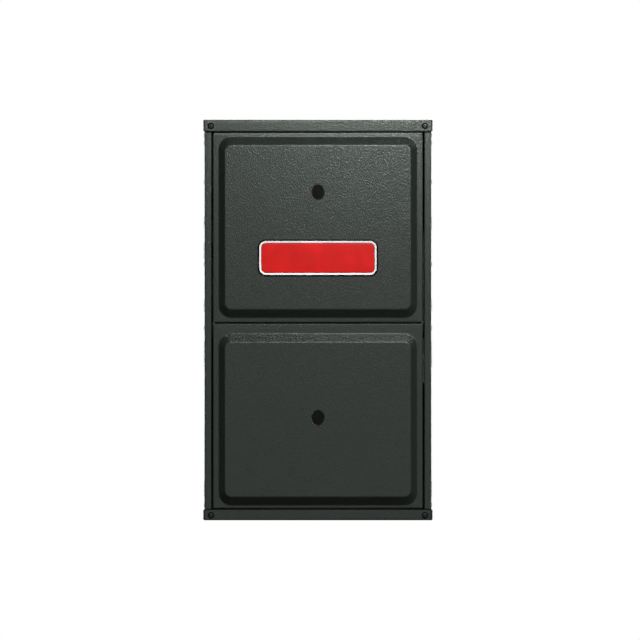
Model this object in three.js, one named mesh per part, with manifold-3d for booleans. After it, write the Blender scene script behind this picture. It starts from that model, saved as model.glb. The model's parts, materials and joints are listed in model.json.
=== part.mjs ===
// A condensing forced air gas furnace with its doors on, as an assembly of separate pieces.
// Millimetres, +Z up, the doors face -Y. The origin is the centre of the bounding box's bottom face.
import * as THREE from 'three';
import { mergeVertices } from 'three/addons/utils/BufferGeometryUtils.js';
import Module from 'manifold-3d';

const wasm = await Module();
wasm.setup();

// ------------------------------------------------ driving sizes

// Cabinet
const cabinetHeight = 876.3;
const bodyWidth = 497;
const bodyDepth = 711.2;
const sheet = 1.2;
const sheetBend = 2.4;
const fitGap = 0.3;
const slipGap = 0.5;
const frontFlangeWidth = 16;
const frontFlangeLip = 12;

// Caps
const capOverhang = 2.4;
const capFrontOverhang = 4;
const capCorner = 4;
const capBend = 3;
const topCapHeight = 25;
const bottomCapHeight = 23;
const returnMargin = 52;
const supplyMargin = 48;
const supplyFrontMargin = 22;

// Doors
const doorSideGap = 2.9;
const doorTopGap = 3;
const doorBottomGap = 2.6;
const doorSplitZ = 431.5;
const doorSplitGap = 2;
const doorReturn = 18;
const doorCorner = 4;
const doorBend = 2.4;
const embossHeight = 12;
const embossRun = 13.5;
const embossBend = 4.5;
const embossEndStretch = 1.4;
const embossCorner = 29;
const embossSideMargin = 11.1;
const upperEmbossTopMargin = 6.9;
const upperEmbossBottomMargin = 7.8;
const lowerEmbossTopMargin = 19.9;
const lowerEmbossBottomMargin = 4.6;

// Sight glasses and badge
const sightWidth = 27;
const sightHeight = 33;
const sightRim = 2;
const sightRimProud = 0.8;
const sightDepth = 7;
const upperSightZ = 717;
const lowerSightZ = 224;
const badgeWidth = 263.5;
const badgeHeight = 81;
const badgeCorner = 14;
const badgeThickness = 2.7;
const badgeRim = 6;
const badgeRecess = 0.9;
const badgeZ = 573.6;

// Corner screws
const screwHeadRadius = 7;
const screwHeadHeight = 2.6;
const screwRimHeight = 1;
const screwCrownRadius = 5;
const screwCrownHeight = 2.3;
const screwShankRadius = 2.1;
const screwShankLength = 12;
const screwRecessRadius = 1.6;
const screwRecessDepth = 1.2;
const screwInset = 14.5;
const topScrewDrop = 13.7;
const bottomScrewRise = 10.9;
const screwTabWidth = 20;
const screwTabHeight = 18;

// Dividing panels
const deckRise = 4;
const deckLip = 29;
const vestibuleDepth = 190;
const vestibuleFlange = 15;

// Heat exchanger
const burnerZ = 690;
const burnerCount = 4;
const tubeRadius = 20;
const tubeWall = 1;
const tubePassPitch = 68;
const tubeFrontBendY = 104;
const tubeBackRoom = 20;
const portRadius = 18;
const collectorInset = 5;
const collectorDepth = 38;
const collectorHeight = 150;
const exchangerRise = 14;
const headerBackRoom = 20;
const headerDepth = 40;
const headerHeight = 135;
const coilHeight = 73;
const coilCore = 12;
const coilFinCount = 24;
const coilFinThickness = 2;

// Burner box, burners and gas train
const burnerBoxSideRoom = 92.3;
const burnerBoxHeight = 90;
const burnerBoxDepth = 115;
const burnerSideRoom = 41;
const burnerLength = 92;
const burnerThroatStart = 23;
const burnerThroatEnd = 41.4;
const burnerTubeStart = 64.4;
const burnerFlangeRadius = 22;
const burnerTubeRadius = 17;
const burnerThroatRadius = 12;
const burnerInletRadius = 15;
const burnerWall = 1.5;
const manifoldRadius = 10.65;
const manifoldStandoff = 16;
const spudRadius = 5;
const spudShoulderRadius = 9;
const spudEntry = 5;
const valveWidth = 58;
const valveDepth = 64;
const valveHeight = 96;
const valveBoxGap = 12;
const valveBossRadius = 15;
const valveBossLength = 8;
const knobRadius = 15;
const knobThickness = 5;
const knobGripHeight = 8;
const knobGripHalfLength = 12.75;
const knobGripHalfWidth = 3;
const supplyPipeRadius = 13.35;
const supplyPipeBore = 10.5;
const supplyPipeDrop = 45;
const supplyPipeBend = 21.4;
const boxWindowRadius = 11;
const boxWindowRise = 27;
const boxWindowThickness = 3;

// Igniter, flame sensor and rollout switches
const ceramicRadius = 6;
const ceramicLength = 16;
const probeReach = 12;
const probeRadius = 2;
const probeCollarRadius = 9.6;
const probeCollarThickness = 4;
const probeSetback = 18;
const rolloutRadius = 11;
const rolloutThickness = 10;
const rolloutInset = 17;
const rolloutRise = 30;
const resetButtonRadius = 2.6;
const resetButtonStroke = 1.5;
const resetButtonProud = 3.5;

// Inducer, vent and intake
const inducerX = 0;
const inducerZ = 545;
const inducerDepth = 72;
const inducerCutoffAngle = 70;
const inducerCutoffRadius = 60;
const inducerEndRadius = 84;
const inducerOutletReach = 75;
const inducerWall = 3;
const inducerInletRadius = 32;
const inducerWheelRadius = 52;
const inducerWheelDepth = 24;
const inducerWheelGap = 2;
const inducerHubRadius = 8.8;
const inducerBladeCount = 10;
const inducerShaftRadius = 4;
const inducerShaftReach = 20;
const inducerMotorRadius = 42;
const inducerMotorLength = 62;
const inducerMotorNoseRadius = 33.6;
const inducerMotorShoulder = 8;
const inducerFlangeRadius = 50;
const ventRadius = 30.15;
const ventBore = 26;
const ventWallRoom = 14.15;
const ventBend = 48;
const ventStubLength = 25;
const couplingLength = 46;
const couplingWall = 4;
const intakeX = -60;
const intakeSetback = 58;

// Pressure switch and condensate
const pressureSwitchX = -130;
const pressureSwitchZ = 563;
const pressureSwitchRadius = 31;
const pressureSwitchDepth = 26;
const pressureNippleRadius = 3;
const pressureNippleLength = 12;
const pressureTubeRadius = 4;
const pressurePortX = -45;
const pressurePortRise = 50;
const trapWidth = 50;
const trapDepth = 60;
const trapHeight = 115;
const trapWallRoom = 32.3;
const trapY = -80;
const drainHoseRadius = 6;
const drainPortX = -30;
const drainPortDrop = 50;
const hoseBend = 15;

// Blower
const blowerBackRoom = 35.7;
const blowerZ = 200;
const blowerHalfWidth = 125;
const blowerCutoffAngle = 105;
const blowerCutoffRadius = 140;
const blowerEndRadius = 195;
const blowerFlange = 14;
const blowerInletRadius = 108;
const wheelRadius = 127;
const wheelHalfWidth = 102;
const wheelBladeCount = 30;
const wheelBladeDepth = 19;
const bladeRake = 35;
const bladeShare = 0.42;
const wheelRingThickness = 3;
const wheelDiscThickness = 2.4;
const wheelHubRadius = 18;
const wheelHubLength = 30;
const blowerMotorRadius = 70;
const blowerMotorLength = 118;
const blowerMotorInset = 32;
const blowerMotorNoseRadius = 52.5;
const blowerMotorShoulder = 8;
const blowerShaftRadius = 6.35;
const blowerShaftReach = 30;
const mountBandWidth = 26;
const mountBandThickness = 3;
const mountArmWidth = 16;
const mountArmCount = 3;
const mountArmReach = 20;

// Controls
const controlHeight = 150;
const controlClearance = 44;
const controlArmReach = 116;
const boardHalfWidth = 95;
const boardHeight = 130;
const boardThickness = 2;
const boardPostRadius = 3;
const boardPostLength = 8;
const boardPostInset = 8;
const transformerWidth = 54;
const transformerDepth = 50;
const transformerHeight = 60;
const transformerStackInset = 9;
const doorSwitchX = 75;
const doorSwitchWidth = 30;
const doorSwitchHeight = 22;
const plungerRadius = 3;
const plungerDrop = 11;
const plungerStroke = 2.5;
const plungerProud = 4.5;
const plungerLength = 11;
const junctionWidth = 50;
const junctionDepth = 60;
const junctionHeight = 100;
const junctionSetback = 79.3;
const junctionZ = 350;
const wiringHoleRadius = 11;

// Facets
const cornerSteps = 5;
const bendSteps = 2;
const pipeBendSteps = 3;
const inducerScrollSteps = 18;
const blowerScrollSteps = 24;

// ------------------------------------------------ places worked out from the sizes

const overallDepth = bodyDepth + capOverhang + embossHeight + fitGap + badgeThickness;
const backY = overallDepth / 2 - capOverhang;
const frontY = backY - bodyDepth;
const vestibuleY = frontY + vestibuleDepth;
const insideHalfWidth = bodyWidth / 2 - sheet;
const insideBackY = backY - sheet;
const topPlateZ = cabinetHeight - sheet;
const screwX = bodyWidth / 2 - screwInset;
const deckZ = doorSplitZ + deckRise;
const deckTopZ = deckZ + sheet / 2;
const deckBottomZ = deckZ - sheet / 2;
const deckLipFront = frontY + doorReturn + fitGap;
const burnerBoxHalfWidth = insideHalfWidth - burnerBoxSideRoom;
const firstBurnerX = burnerSideRoom - burnerBoxHalfWidth;
const burnerPitch = -2 * firstBurnerX / (burnerCount - 1);
const collectorHalfWidth = burnerBoxHalfWidth - collectorInset;
const headerY = insideBackY - vestibuleY - headerBackRoom - headerDepth;
const tubeBackBendY = headerY - tubeBackRoom;
const exchangerFloorZ = deckTopZ + exchangerRise;
const burnerBoxFront = -fitGap - burnerBoxDepth;
const manifoldY = burnerBoxFront - manifoldStandoff;
const valveX = -burnerBoxHalfWidth - valveBoxGap - valveWidth / 2;
const probeY = -fitGap - probeSetback;
const rolloutX = burnerBoxHalfWidth - rolloutInset;
const ventX = insideHalfWidth - ventWallRoom - ventRadius;
const ventZ = inducerZ + (inducerEndRadius + inducerCutoffRadius * Math.cos(radians(inducerCutoffAngle))) / 2;
const inducerMidY = -fitGap - inducerDepth / 2;
const inducerFaceY = -fitGap - inducerDepth;
const trapX = -insideHalfWidth + trapWallRoom + trapWidth / 2;
const blowerY = insideBackY - blowerBackRoom - blowerEndRadius;
const junctionY = frontY + junctionSetback;

// ------------------------------------------------ looks

const looks = {
  paint: { color: 0x383d39, roughness: 0.5, metalness: 0.25 },
  screwPaint: { color: 0x3a3f3b, roughness: 0.45, metalness: 0.3 },
  sightGlass: { color: 0x141614, roughness: 0.3, metalness: 0 },
  badge: { color: 0xed2024, roughness: 0.35, metalness: 0 },
  galvanised: { color: 0xa9adae, roughness: 0.45, metalness: 0.8 },
  aluminised: { color: 0x9c9a93, roughness: 0.5, metalness: 0.75 },
  stainless: { color: 0xb4b6b6, roughness: 0.3, metalness: 0.9 },
  blackPipe: { color: 0x26272a, roughness: 0.55, metalness: 0.6 },
  castAluminium: { color: 0x9a9c9e, roughness: 0.5, metalness: 0.7 },
  motorShell: { color: 0x3c3e42, roughness: 0.45, metalness: 0.6 },
  shaftSteel: { color: 0xc2c4c6, roughness: 0.22, metalness: 0.95 },
  blackPlastic: { color: 0x1b1c1e, roughness: 0.5, metalness: 0 },
  redPlastic: { color: 0xb3201c, roughness: 0.4, metalness: 0 },
  whitePlastic: { color: 0xe4e4df, roughness: 0.45, metalness: 0 },
  rubber: { color: 0x161616, roughness: 0.8, metalness: 0 },
  ceramic: { color: 0xe9e4d8, roughness: 0.7, metalness: 0 },
  circuitBoard: { color: 0x1f5a34, roughness: 0.5, metalness: 0.05 },
  coilVarnish: { color: 0x4a4f55, roughness: 0.5, metalness: 0.5 },
};

// ------------------------------------------------ shape helpers

function radians(degrees) {
  return degrees * Math.PI / 180;
}

// Stations along straight runs joined by arcs; each has its point and its direction.
function roundedRun(corners, radius, steps) {
  const stations = [];
  const keep = (point, tangent) => {
    const previous = stations[stations.length - 1];
    if (!previous || previous.point.distanceTo(point) > 1e-6) {
      stations.push({ point, tangent });
    }
  };
  corners.forEach((corner, i) => {
    const arriving = i > 0 ? corner.clone().sub(corners[i - 1]).normalize() : null;
    const leaving = i < corners.length - 1 ? corners[i + 1].clone().sub(corner).normalize() : null;
    if (!arriving || !leaving) {
      keep(corner.clone(), arriving || leaving);
      return;
    }
    const turn = arriving.angleTo(leaving);
    const inward = leaving.clone().sub(arriving).normalize();
    const centre = corner.clone().addScaledVector(inward, radius / Math.cos(turn / 2));
    const spoke = corner.clone().addScaledVector(arriving, -radius * Math.tan(turn / 2)).sub(centre);
    const axis = arriving.clone().cross(leaving).normalize();
    for (let step = 0; step <= steps; step += 1) {
      const angle = turn * step / steps;
      const turnedSpoke = spoke.clone().applyAxisAngle(axis, angle);
      keep(centre.clone().add(turnedSpoke), arriving.clone().applyAxisAngle(axis, angle));
    }
  });
  return stations;
}

// A curve that is sampled only at the stations of a rounded run.
class PipeRun extends THREE.Curve {
  constructor(corners, bendRadius) {
    super();
    this.stations = roundedRun(corners, bendRadius, pipeBendSteps);
    this.steps = this.stations.length - 1;
  }

  between(t, key) {
    const place = THREE.MathUtils.clamp(t, 0, 1) * this.steps;
    const before = Math.min(Math.floor(place), this.steps - 1);
    return this.stations[before][key].clone().lerp(this.stations[before + 1][key], place - before);
  }

  getPoint(t) {
    return this.between(t, 'point');
  }

  getPointAt(u) {
    return this.between(u, 'point');
  }

  getTangentAt(u) {
    return this.between(u, 'tangent').normalize();
  }
}

function circle(radius, sides) {
  const points = [];
  for (let i = 0; i < sides; i += 1) {
    const angle = 2 * Math.PI * i / sides;
    points.push(new THREE.Vector2(radius * Math.cos(angle), radius * Math.sin(angle)));
  }
  return points;
}

function ellipse(radiusX, radiusY, sides) {
  return circle(1, sides).map((point) => new THREE.Vector2(point.x * radiusX, point.y * radiusY));
}

function roundedRectangle({ left, right, low, high }, radius) {
  const centres = [
    [right - radius, low + radius],
    [right - radius, high - radius],
    [left + radius, high - radius],
    [left + radius, low + radius],
  ];
  const points = [];
  centres.forEach(([x, y], corner) => {
    for (let step = 0; step <= cornerSteps; step += 1) {
      const angle = (corner - 1 + step / cornerSteps) * Math.PI / 2;
      points.push(new THREE.Vector2(x + radius * Math.cos(angle), y + radius * Math.sin(angle)));
    }
  });
  return points;
}

// The section of a folded sheet: `corners` lie on the middle of its thickness.
function foldedSheet(corners, bend = sheetBend, thickness = sheet) {
  const stations = roundedRun(corners.map(([x, y]) => new THREE.Vector3(x, y, 0)), bend, bendSteps);
  const face = (side) => stations.map(({ point, tangent }) => (
    new THREE.Vector2(point.x - side * tangent.y, point.y + side * tangent.x)
  ));
  return [...face(thickness / 2), ...face(-thickness / 2).reverse()];
}

function shapeOf(outline, holes = []) {
  const shape = new THREE.Shape(outline);
  holes.forEach((hole) => shape.holes.push(new THREE.Path(hole)));
  return shape;
}

function extrude(outline, depth, holes) {
  return new THREE.ExtrudeGeometry(shapeOf(outline, holes), { depth, steps: 1, bevelEnabled: false });
}

// Extrusions of an outline drawn in (x, y), (y, z) and (x, z).
function extrudeZ(outline, from, to, holes) {
  return extrude(outline, to - from, holes).translate(0, 0, from);
}

function extrudeX(outline, from, to, holes) {
  const turn = new THREE.Matrix4().makeBasis(
    new THREE.Vector3(0, 1, 0),
    new THREE.Vector3(0, 0, 1),
    new THREE.Vector3(1, 0, 0),
  );
  return extrude(outline, to - from, holes).applyMatrix4(turn).translate(from, 0, 0);
}

function extrudeY(outline, from, to, holes) {
  const turn = new THREE.Matrix4().makeBasis(
    new THREE.Vector3(1, 0, 0),
    new THREE.Vector3(0, 0, 1),
    new THREE.Vector3(0, -1, 0),
  );
  return extrude(outline, to - from, holes).applyMatrix4(turn).translate(0, to, 0);
}

function box(x0, x1, y0, y1, z0, z1) {
  return new THREE.BoxGeometry(x1 - x0, y1 - y0, z1 - z0)
    .translate((x0 + x1) / 2, (y0 + y1) / 2, (z0 + z1) / 2);
}

function rodX(radius, from, to, y, z, sides = 16) {
  return new THREE.CylinderGeometry(radius, radius, to - from, sides)
    .rotateZ(Math.PI / 2)
    .translate((from + to) / 2, y, z);
}

function rodY(radius, from, to, x, z, sides = 16) {
  return new THREE.CylinderGeometry(radius, radius, to - from, sides).translate(x, (from + to) / 2, z);
}

function rodZ(radius, from, to, x, y, sides = 16) {
  return new THREE.CylinderGeometry(radius, radius, to - from, sides)
    .rotateX(Math.PI / 2)
    .translate(x, y, (from + to) / 2);
}

// A turned piece about Y. The profile is [radius, y] pairs, from low y to high y on its outside.
function turned(profile, sides) {
  return new THREE.LatheGeometry(profile.map(([radius, y]) => new THREE.Vector2(radius, y)), sides);
}

function pipe(corners, radius, bore, bendRadius, sides) {
  const run = new PipeRun(corners.map(([x, y, z]) => new THREE.Vector3(x, y, z)), bendRadius);
  const holes = bore > 0 ? [circle(bore, sides)] : [];
  return new THREE.ExtrudeGeometry(shapeOf(circle(radius, sides), holes), {
    steps: run.steps,
    extrudePath: run,
    bevelEnabled: false,
  });
}

// A closed solid through a stack of outlines with the same number of points, from low z to high z.
function loft(levels) {
  const count = levels[0].outline.length;
  const position = levels.flatMap(({ outline, z }) => outline.flatMap(({ x, y }) => [x, y, z]));
  const index = [];
  for (let level = 0; level < levels.length - 1; level += 1) {
    for (let i = 0; i < count; i += 1) {
      const a = level * count + i;
      const b = level * count + (i + 1) % count;
      index.push(a, b, b + count, a, b + count, a + count);
    }
  }
  const top = (levels.length - 1) * count;
  for (let i = 1; i < count - 1; i += 1) {
    index.push(0, i + 1, i, top, top + i, top + i + 1);
  }
  const geometry = new THREE.BufferGeometry();
  geometry.setAttribute('position', new THREE.Float32BufferAttribute(position, 3));
  geometry.setIndex(index);
  geometry.computeVertexNormals();
  return geometry;
}

// ------------------------------------------------ joining and cutting

function toSolid(geometry) {
  const bare = geometry.clone();
  bare.deleteAttribute('normal');
  bare.deleteAttribute('uv');
  const merged = mergeVertices(bare, 1e-4);
  const corners = merged.getIndex().array;
  const triangles = [];
  for (let i = 0; i < corners.length; i += 3) {
    const [a, b, c] = [corners[i], corners[i + 1], corners[i + 2]];
    if (a !== b && b !== c && c !== a) {
      triangles.push(a, b, c);
    }
  }
  return new wasm.Manifold(new wasm.Mesh({
    numProp: 3,
    vertProperties: new Float32Array(merged.getAttribute('position').array),
    triVerts: new Uint32Array(triangles),
  }));
}

function toGeometry(solid) {
  const mesh = solid.getMesh();
  const geometry = new THREE.BufferGeometry();
  geometry.setAttribute('position', new THREE.Float32BufferAttribute(mesh.vertProperties, 3));
  geometry.setIndex(Array.from(mesh.triVerts));
  geometry.computeVertexNormals();
  return geometry;
}

function cut(body, ...tools) {
  return toGeometry(tools.reduce((solid, tool) => solid.subtract(toSolid(tool)), toSolid(body)));
}

function join(body, ...others) {
  return toGeometry(others.reduce((solid, other) => solid.add(toSolid(other)), toSolid(body)));
}

// ------------------------------------------------ scene graph

const furnace = new THREE.Group();

function assembly(x, y, z) {
  const group = new THREE.Group();
  group.position.set(x, y, z);
  furnace.add(group);
  return group;
}

function place(parent, name, geometry, look) {
  const mesh = new THREE.Mesh(geometry, new THREE.MeshStandardMaterial(looks[look]));
  mesh.name = name;
  parent.add(mesh);
  return mesh;
}

// ------------------------------------------------ pressed trays: caps and doors

// The levels of one skin of a pressed sheet. Each section has the rectangle that its insets are measured
// from, and `depth` is how far the skin lies behind the outer face.
function skinLevels(sections, depth) {
  return sections.flatMap(({ rectangle, corner, endStretch, stations }) => (
    stations.map(({ point, tangent }) => {
      const inset = point.x + depth * tangent.y;
      const endInset = inset * endStretch;
      const outline = roundedRectangle({
        left: rectangle.left + inset,
        right: rectangle.right - inset,
        low: rectangle.low + endInset,
        high: rectangle.high - endInset,
      }, corner - inset);
      return { outline, z: point.y - depth * tangent.x };
    })
  ));
}

function pressedTray(sections) {
  const inner = skinLevels(sections, sheet);
  const mouth = { outline: inner[0].outline, z: inner[0].z - sheet };
  return cut(loft(skinLevels(sections, 0)), loft([mouth, ...inner]));
}

function trayEdge(rectangle, corner, bend, height) {
  const corners = [[0, -height], [0, 0], [bend, 0]].map(([x, y]) => new THREE.Vector3(x, y, 0));
  return { rectangle, corner, endStretch: 1, stations: roundedRun(corners, bend, bendSteps) };
}

function embossSection(rectangle) {
  const slope = Math.atan2(embossHeight, embossRun);
  const setback = embossBend * Math.tan(slope / 2);
  const corners = [
    [0, 0],
    [setback, 0],
    [setback + embossRun, embossHeight],
    [setback * 2 + embossRun, embossHeight],
  ].map(([x, y]) => new THREE.Vector3(x, y, 0));
  const stations = roundedRun(corners, embossBend, bendSteps + 1);
  return { rectangle, corner: embossCorner, endStretch: embossEndStretch, stations };
}

const capFootprint = {
  left: -bodyWidth / 2 - capOverhang,
  right: bodyWidth / 2 + capOverhang,
  low: frontY - capFrontOverhang,
  high: backY + capOverhang,
};

function screwPlaces() {
  return [-1, 1].flatMap((side) => [
    { name: side < 0 ? 'top_left' : 'top_right', x: side * screwX, z: cabinetHeight - topScrewDrop },
    { name: side < 0 ? 'bottom_left' : 'bottom_right', x: side * screwX, z: bottomScrewRise },
  ]);
}

function screwHoles(height) {
  const from = capFootprint.low - sheet;
  const to = capFootprint.low + screwShankLength + sheet;
  return screwPlaces()
    .filter(({ z }) => Math.abs(z - height) < bottomCapHeight + topCapHeight)
    .map(({ x, z }) => rodY(screwShankRadius + fitGap, from, to, x, z, 14));
}

function topCap() {
  const tray = pressedTray([trayEdge(capFootprint, capCorner, capBend, topCapHeight)])
    .translate(0, 0, cabinetHeight);
  const supply = box(
    -bodyWidth / 2 + supplyMargin,
    bodyWidth / 2 - supplyMargin,
    vestibuleY + supplyFrontMargin,
    backY - supplyMargin,
    topPlateZ - sheet,
    cabinetHeight + sheet,
  );
  const socket = (x, y) => rodZ(ventRadius + slipGap, topPlateZ - sheet, cabinetHeight + sheet, x, y, 20);
  return cut(
    tray,
    supply,
    socket(ventX, vestibuleY + inducerMidY),
    socket(intakeX, vestibuleY - intakeSetback),
    ...screwHoles(cabinetHeight),
  );
}

function bottomCap() {
  const flipped = { ...capFootprint, low: -capFootprint.high, high: -capFootprint.low };
  const tray = pressedTray([trayEdge(flipped, capCorner, capBend, bottomCapHeight)]).rotateX(Math.PI);
  const inlet = box(
    -bodyWidth / 2 + returnMargin,
    bodyWidth / 2 - returnMargin,
    frontY + returnMargin,
    backY - returnMargin,
    -sheet,
    2 * sheet,
  );
  return cut(tray, inlet, ...screwHoles(0));
}

function doorWithEmboss(door, sightZ) {
  const emboss = {
    left: door.left + embossSideMargin,
    right: door.right - embossSideMargin,
    low: door.low + door.embossBottomMargin,
    high: door.high - door.embossTopMargin,
  };
  const tray = pressedTray([trayEdge(door, doorCorner, doorBend, doorReturn), embossSection(emboss)]);
  const sightHole = extrudeZ(
    ellipse(sightWidth / 2, sightHeight / 2, 24),
    embossHeight - 2 * sheet,
    embossHeight + sheet,
  ).translate(0, sightZ, 0);
  return cut(tray, sightHole).rotateX(Math.PI / 2);
}

// ------------------------------------------------ cabinet

const doorHalfWidth = bodyWidth / 2 - frontFlangeWidth - doorSideGap;
const upperDoor = {
  left: -doorHalfWidth,
  right: doorHalfWidth,
  low: doorSplitZ + doorSplitGap / 2,
  high: cabinetHeight - topCapHeight - doorTopGap,
  embossTopMargin: upperEmbossTopMargin,
  embossBottomMargin: upperEmbossBottomMargin,
};
const lowerDoor = {
  left: -doorHalfWidth,
  right: doorHalfWidth,
  low: bottomCapHeight + doorBottomGap,
  high: doorSplitZ - doorSplitGap / 2,
  embossTopMargin: lowerEmbossTopMargin,
  embossBottomMargin: lowerEmbossBottomMargin,
};

const supplyPipeZ = burnerZ - valveHeight / 2 - valveBossLength - supplyPipeDrop;

function cabinetWrap() {
  const wrapBottom = sheet + fitGap;
  const wrapTop = topPlateZ - fitGap;
  const flangeX = bodyWidth / 2 - frontFlangeWidth + sheet / 2;
  const sideX = bodyWidth / 2 - sheet / 2;
  const section = foldedSheet([
    [-flangeX, frontY + frontFlangeLip],
    [-flangeX, frontY + sheet / 2],
    [-sideX, frontY + sheet / 2],
    [-sideX, backY - sheet / 2],
    [sideX, backY - sheet / 2],
    [sideX, frontY + sheet / 2],
    [flangeX, frontY + sheet / 2],
    [flangeX, frontY + frontFlangeLip],
  ]);
  const tabs = [-1, 1].flatMap((side) => [wrapBottom, wrapTop - screwTabHeight].map((z) => box(
    side * flangeX - screwTabWidth / 2,
    side * flangeX + screwTabWidth / 2,
    frontY,
    frontY + sheet,
    z,
    z + screwTabHeight,
  )));
  const body = join(extrudeZ(section, wrapBottom, wrapTop), ...tabs);
  const gasHole = rodX(
    supplyPipeRadius + slipGap,
    -bodyWidth / 2 - sheet,
    -insideHalfWidth + sheet,
    vestibuleY + manifoldY,
    supplyPipeZ,
  );
  const wiringHole = rodX(
    wiringHoleRadius,
    insideHalfWidth - sheet,
    bodyWidth / 2 + sheet,
    junctionY,
    junctionZ,
  );
  return cut(body, gasHole, wiringHole, ...screwHoles(0), ...screwHoles(cabinetHeight));
}

const blowerOutlet = {
  front: blowerY + blowerCutoffRadius * Math.cos(radians(blowerCutoffAngle)) + sheet,
  back: blowerY + blowerEndRadius - sheet,
};

function blowerDeck() {
  const frontEdge = deckLipFront + sheet / 2;
  const section = foldedSheet([
    [frontEdge, deckZ - deckLip],
    [frontEdge, deckZ],
    [insideBackY - sheetBend, deckZ],
  ]);
  const outlet = box(
    -blowerHalfWidth + sheet,
    blowerHalfWidth - sheet,
    blowerOutlet.front,
    blowerOutlet.back,
    deckBottomZ - sheet,
    deckTopZ + sheet,
  );
  return cut(extrudeX(section, -insideHalfWidth + fitGap, insideHalfWidth - fitGap), outlet);
}

function vestibulePanel() {
  const sideX = insideHalfWidth - fitGap - sheet / 2;
  const section = foldedSheet([
    [-sideX, vestibuleY - vestibuleFlange],
    [-sideX, vestibuleY + sheet / 2],
    [sideX, vestibuleY + sheet / 2],
    [sideX, vestibuleY - vestibuleFlange],
  ]);
  const hole = (radius, x, z) => rodY(radius, vestibuleY - sheet, vestibuleY + 2 * sheet, x, z, 16);
  const ports = burnerPlaces().map((x) => hole(portRadius, x, burnerZ));
  const inducerPort = hole(inducerInletRadius, inducerX, inducerZ);
  return cut(extrudeZ(section, deckTopZ + fitGap, topPlateZ - fitGap), ...ports, inducerPort);
}

function burnerPlaces() {
  return Array.from({ length: burnerCount }, (_, i) => firstBurnerX + i * burnerPitch);
}

function cornerScrew() {
  const profile = [
    [0, -screwShankLength],
    [screwShankRadius, -screwShankLength],
    [screwShankRadius, 0],
    [screwHeadRadius, 0],
    [screwHeadRadius, screwRimHeight],
    [screwCrownRadius, screwCrownHeight],
    [screwRecessRadius, screwHeadHeight],
    [screwRecessRadius, screwHeadHeight - screwRecessDepth],
    [0, screwHeadHeight - screwRecessDepth],
  ];
  return turned(profile, 12).rotateX(Math.PI);
}

const cabinet = assembly(0, 0, 0);
place(cabinet, 'cabinet_wrap', cabinetWrap(), 'paint');
place(cabinet, 'top_cap', topCap(), 'paint');
place(cabinet, 'bottom_cap', bottomCap(), 'paint');
place(cabinet, 'blower_deck', blowerDeck(), 'galvanised');
place(cabinet, 'vestibule_panel', vestibulePanel(), 'galvanised');

screwPlaces().forEach(({ name, x, z }) => {
  const screw = place(cabinet, `${name}_screw`, cornerScrew(), 'screwPaint');
  screw.position.set(x, capFootprint.low - fitGap, z);
});

// ------------------------------------------------ doors

function sightGlass() {
  const body = extrudeY(ellipse(sightWidth / 2 - fitGap, sightHeight / 2 - fitGap, 24), 0, sightDepth);
  const rim = extrudeY(
    ellipse(sightWidth / 2 + sightRim, sightHeight / 2 + sightRim, 24),
    -fitGap - sightRimProud,
    -fitGap,
  );
  const neck = extrudeY(ellipse(sightWidth / 2 - fitGap, sightHeight / 2 - fitGap, 24), -fitGap, 0);
  const dish = extrudeY(
    ellipse(sightWidth / 2 - sightRim, sightHeight / 2 - sightRim, 24),
    -fitGap - 2 * sightRimProud,
    sightRimProud,
  );
  return cut(join(body, neck, rim), dish);
}

function badgePlate() {
  const rectangle = (inset) => ({
    left: -badgeWidth / 2 + inset,
    right: badgeWidth / 2 - inset,
    low: -badgeHeight / 2 + inset,
    high: badgeHeight / 2 - inset,
  });
  const plate = extrudeY(roundedRectangle(rectangle(0), badgeCorner), 0, badgeThickness);
  const field = roundedRectangle(rectangle(badgeRim), badgeCorner - badgeRim);
  return cut(plate, extrudeY(field, -badgeRecess, badgeRecess));
}

const upperDoorGroup = assembly(0, frontY, 0);
place(upperDoorGroup, 'upper_door', doorWithEmboss(upperDoor, upperSightZ), 'paint');
place(upperDoorGroup, 'upper_sight_glass', sightGlass(), 'sightGlass')
  .position.set(0, -embossHeight, upperSightZ);
place(upperDoorGroup, 'badge_plate', badgePlate(), 'badge')
  .position.set(0, -embossHeight - fitGap - badgeThickness, badgeZ);

const lowerDoorGroup = assembly(0, frontY, 0);
place(lowerDoorGroup, 'lower_door', doorWithEmboss(lowerDoor, lowerSightZ), 'paint');
place(lowerDoorGroup, 'lower_sight_glass', sightGlass(), 'sightGlass')
  .position.set(0, -embossHeight, lowerSightZ);

// ------------------------------------------------ heat exchanger, from the vestibule panel back

const exchangerFront = sheet + fitGap;
const collectorBack = exchangerFront + collectorDepth;

function exchangerTube() {
  const returnZ = -tubePassPitch;
  const exitZ = -2 * tubePassPitch;
  const bend = tubePassPitch / 2;
  return pipe([
    [0, exchangerFront, 0],
    [0, tubeBackBendY + bend, 0],
    [0, tubeBackBendY + bend, returnZ],
    [0, tubeFrontBendY - bend, returnZ],
    [0, tubeFrontBendY - bend, exitZ],
    [0, headerY - fitGap, exitZ],
  ], tubeRadius, tubeRadius - tubeWall, bend, 10);
}

function rearHeader() {
  const low = exchangerFloorZ - burnerZ;
  const high = low + headerHeight;
  const shell = box(-collectorHalfWidth, collectorHalfWidth, headerY, headerY + headerDepth, low, high);
  const inside = box(
    -collectorHalfWidth + sheet,
    collectorHalfWidth - sheet,
    headerY + sheet,
    headerY + headerDepth - sheet,
    low + sheet,
    high - sheet,
  );
  const ports = burnerPlaces().map((x) => (
    rodY(portRadius, headerY - sheet, headerY + 2 * sheet, x, -2 * tubePassPitch, 10)
  ));
  const coilPort = box(
    -collectorHalfWidth + 2 * coilFinThickness,
    collectorHalfWidth - 2 * coilFinThickness,
    headerY - sheet,
    headerY + 2 * sheet,
    low + (coilHeight - coilCore) / 2 + coilFinThickness,
    low + (coilHeight + coilCore) / 2 - coilFinThickness,
  );
  return cut(shell, inside, ...ports, coilPort);
}

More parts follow.
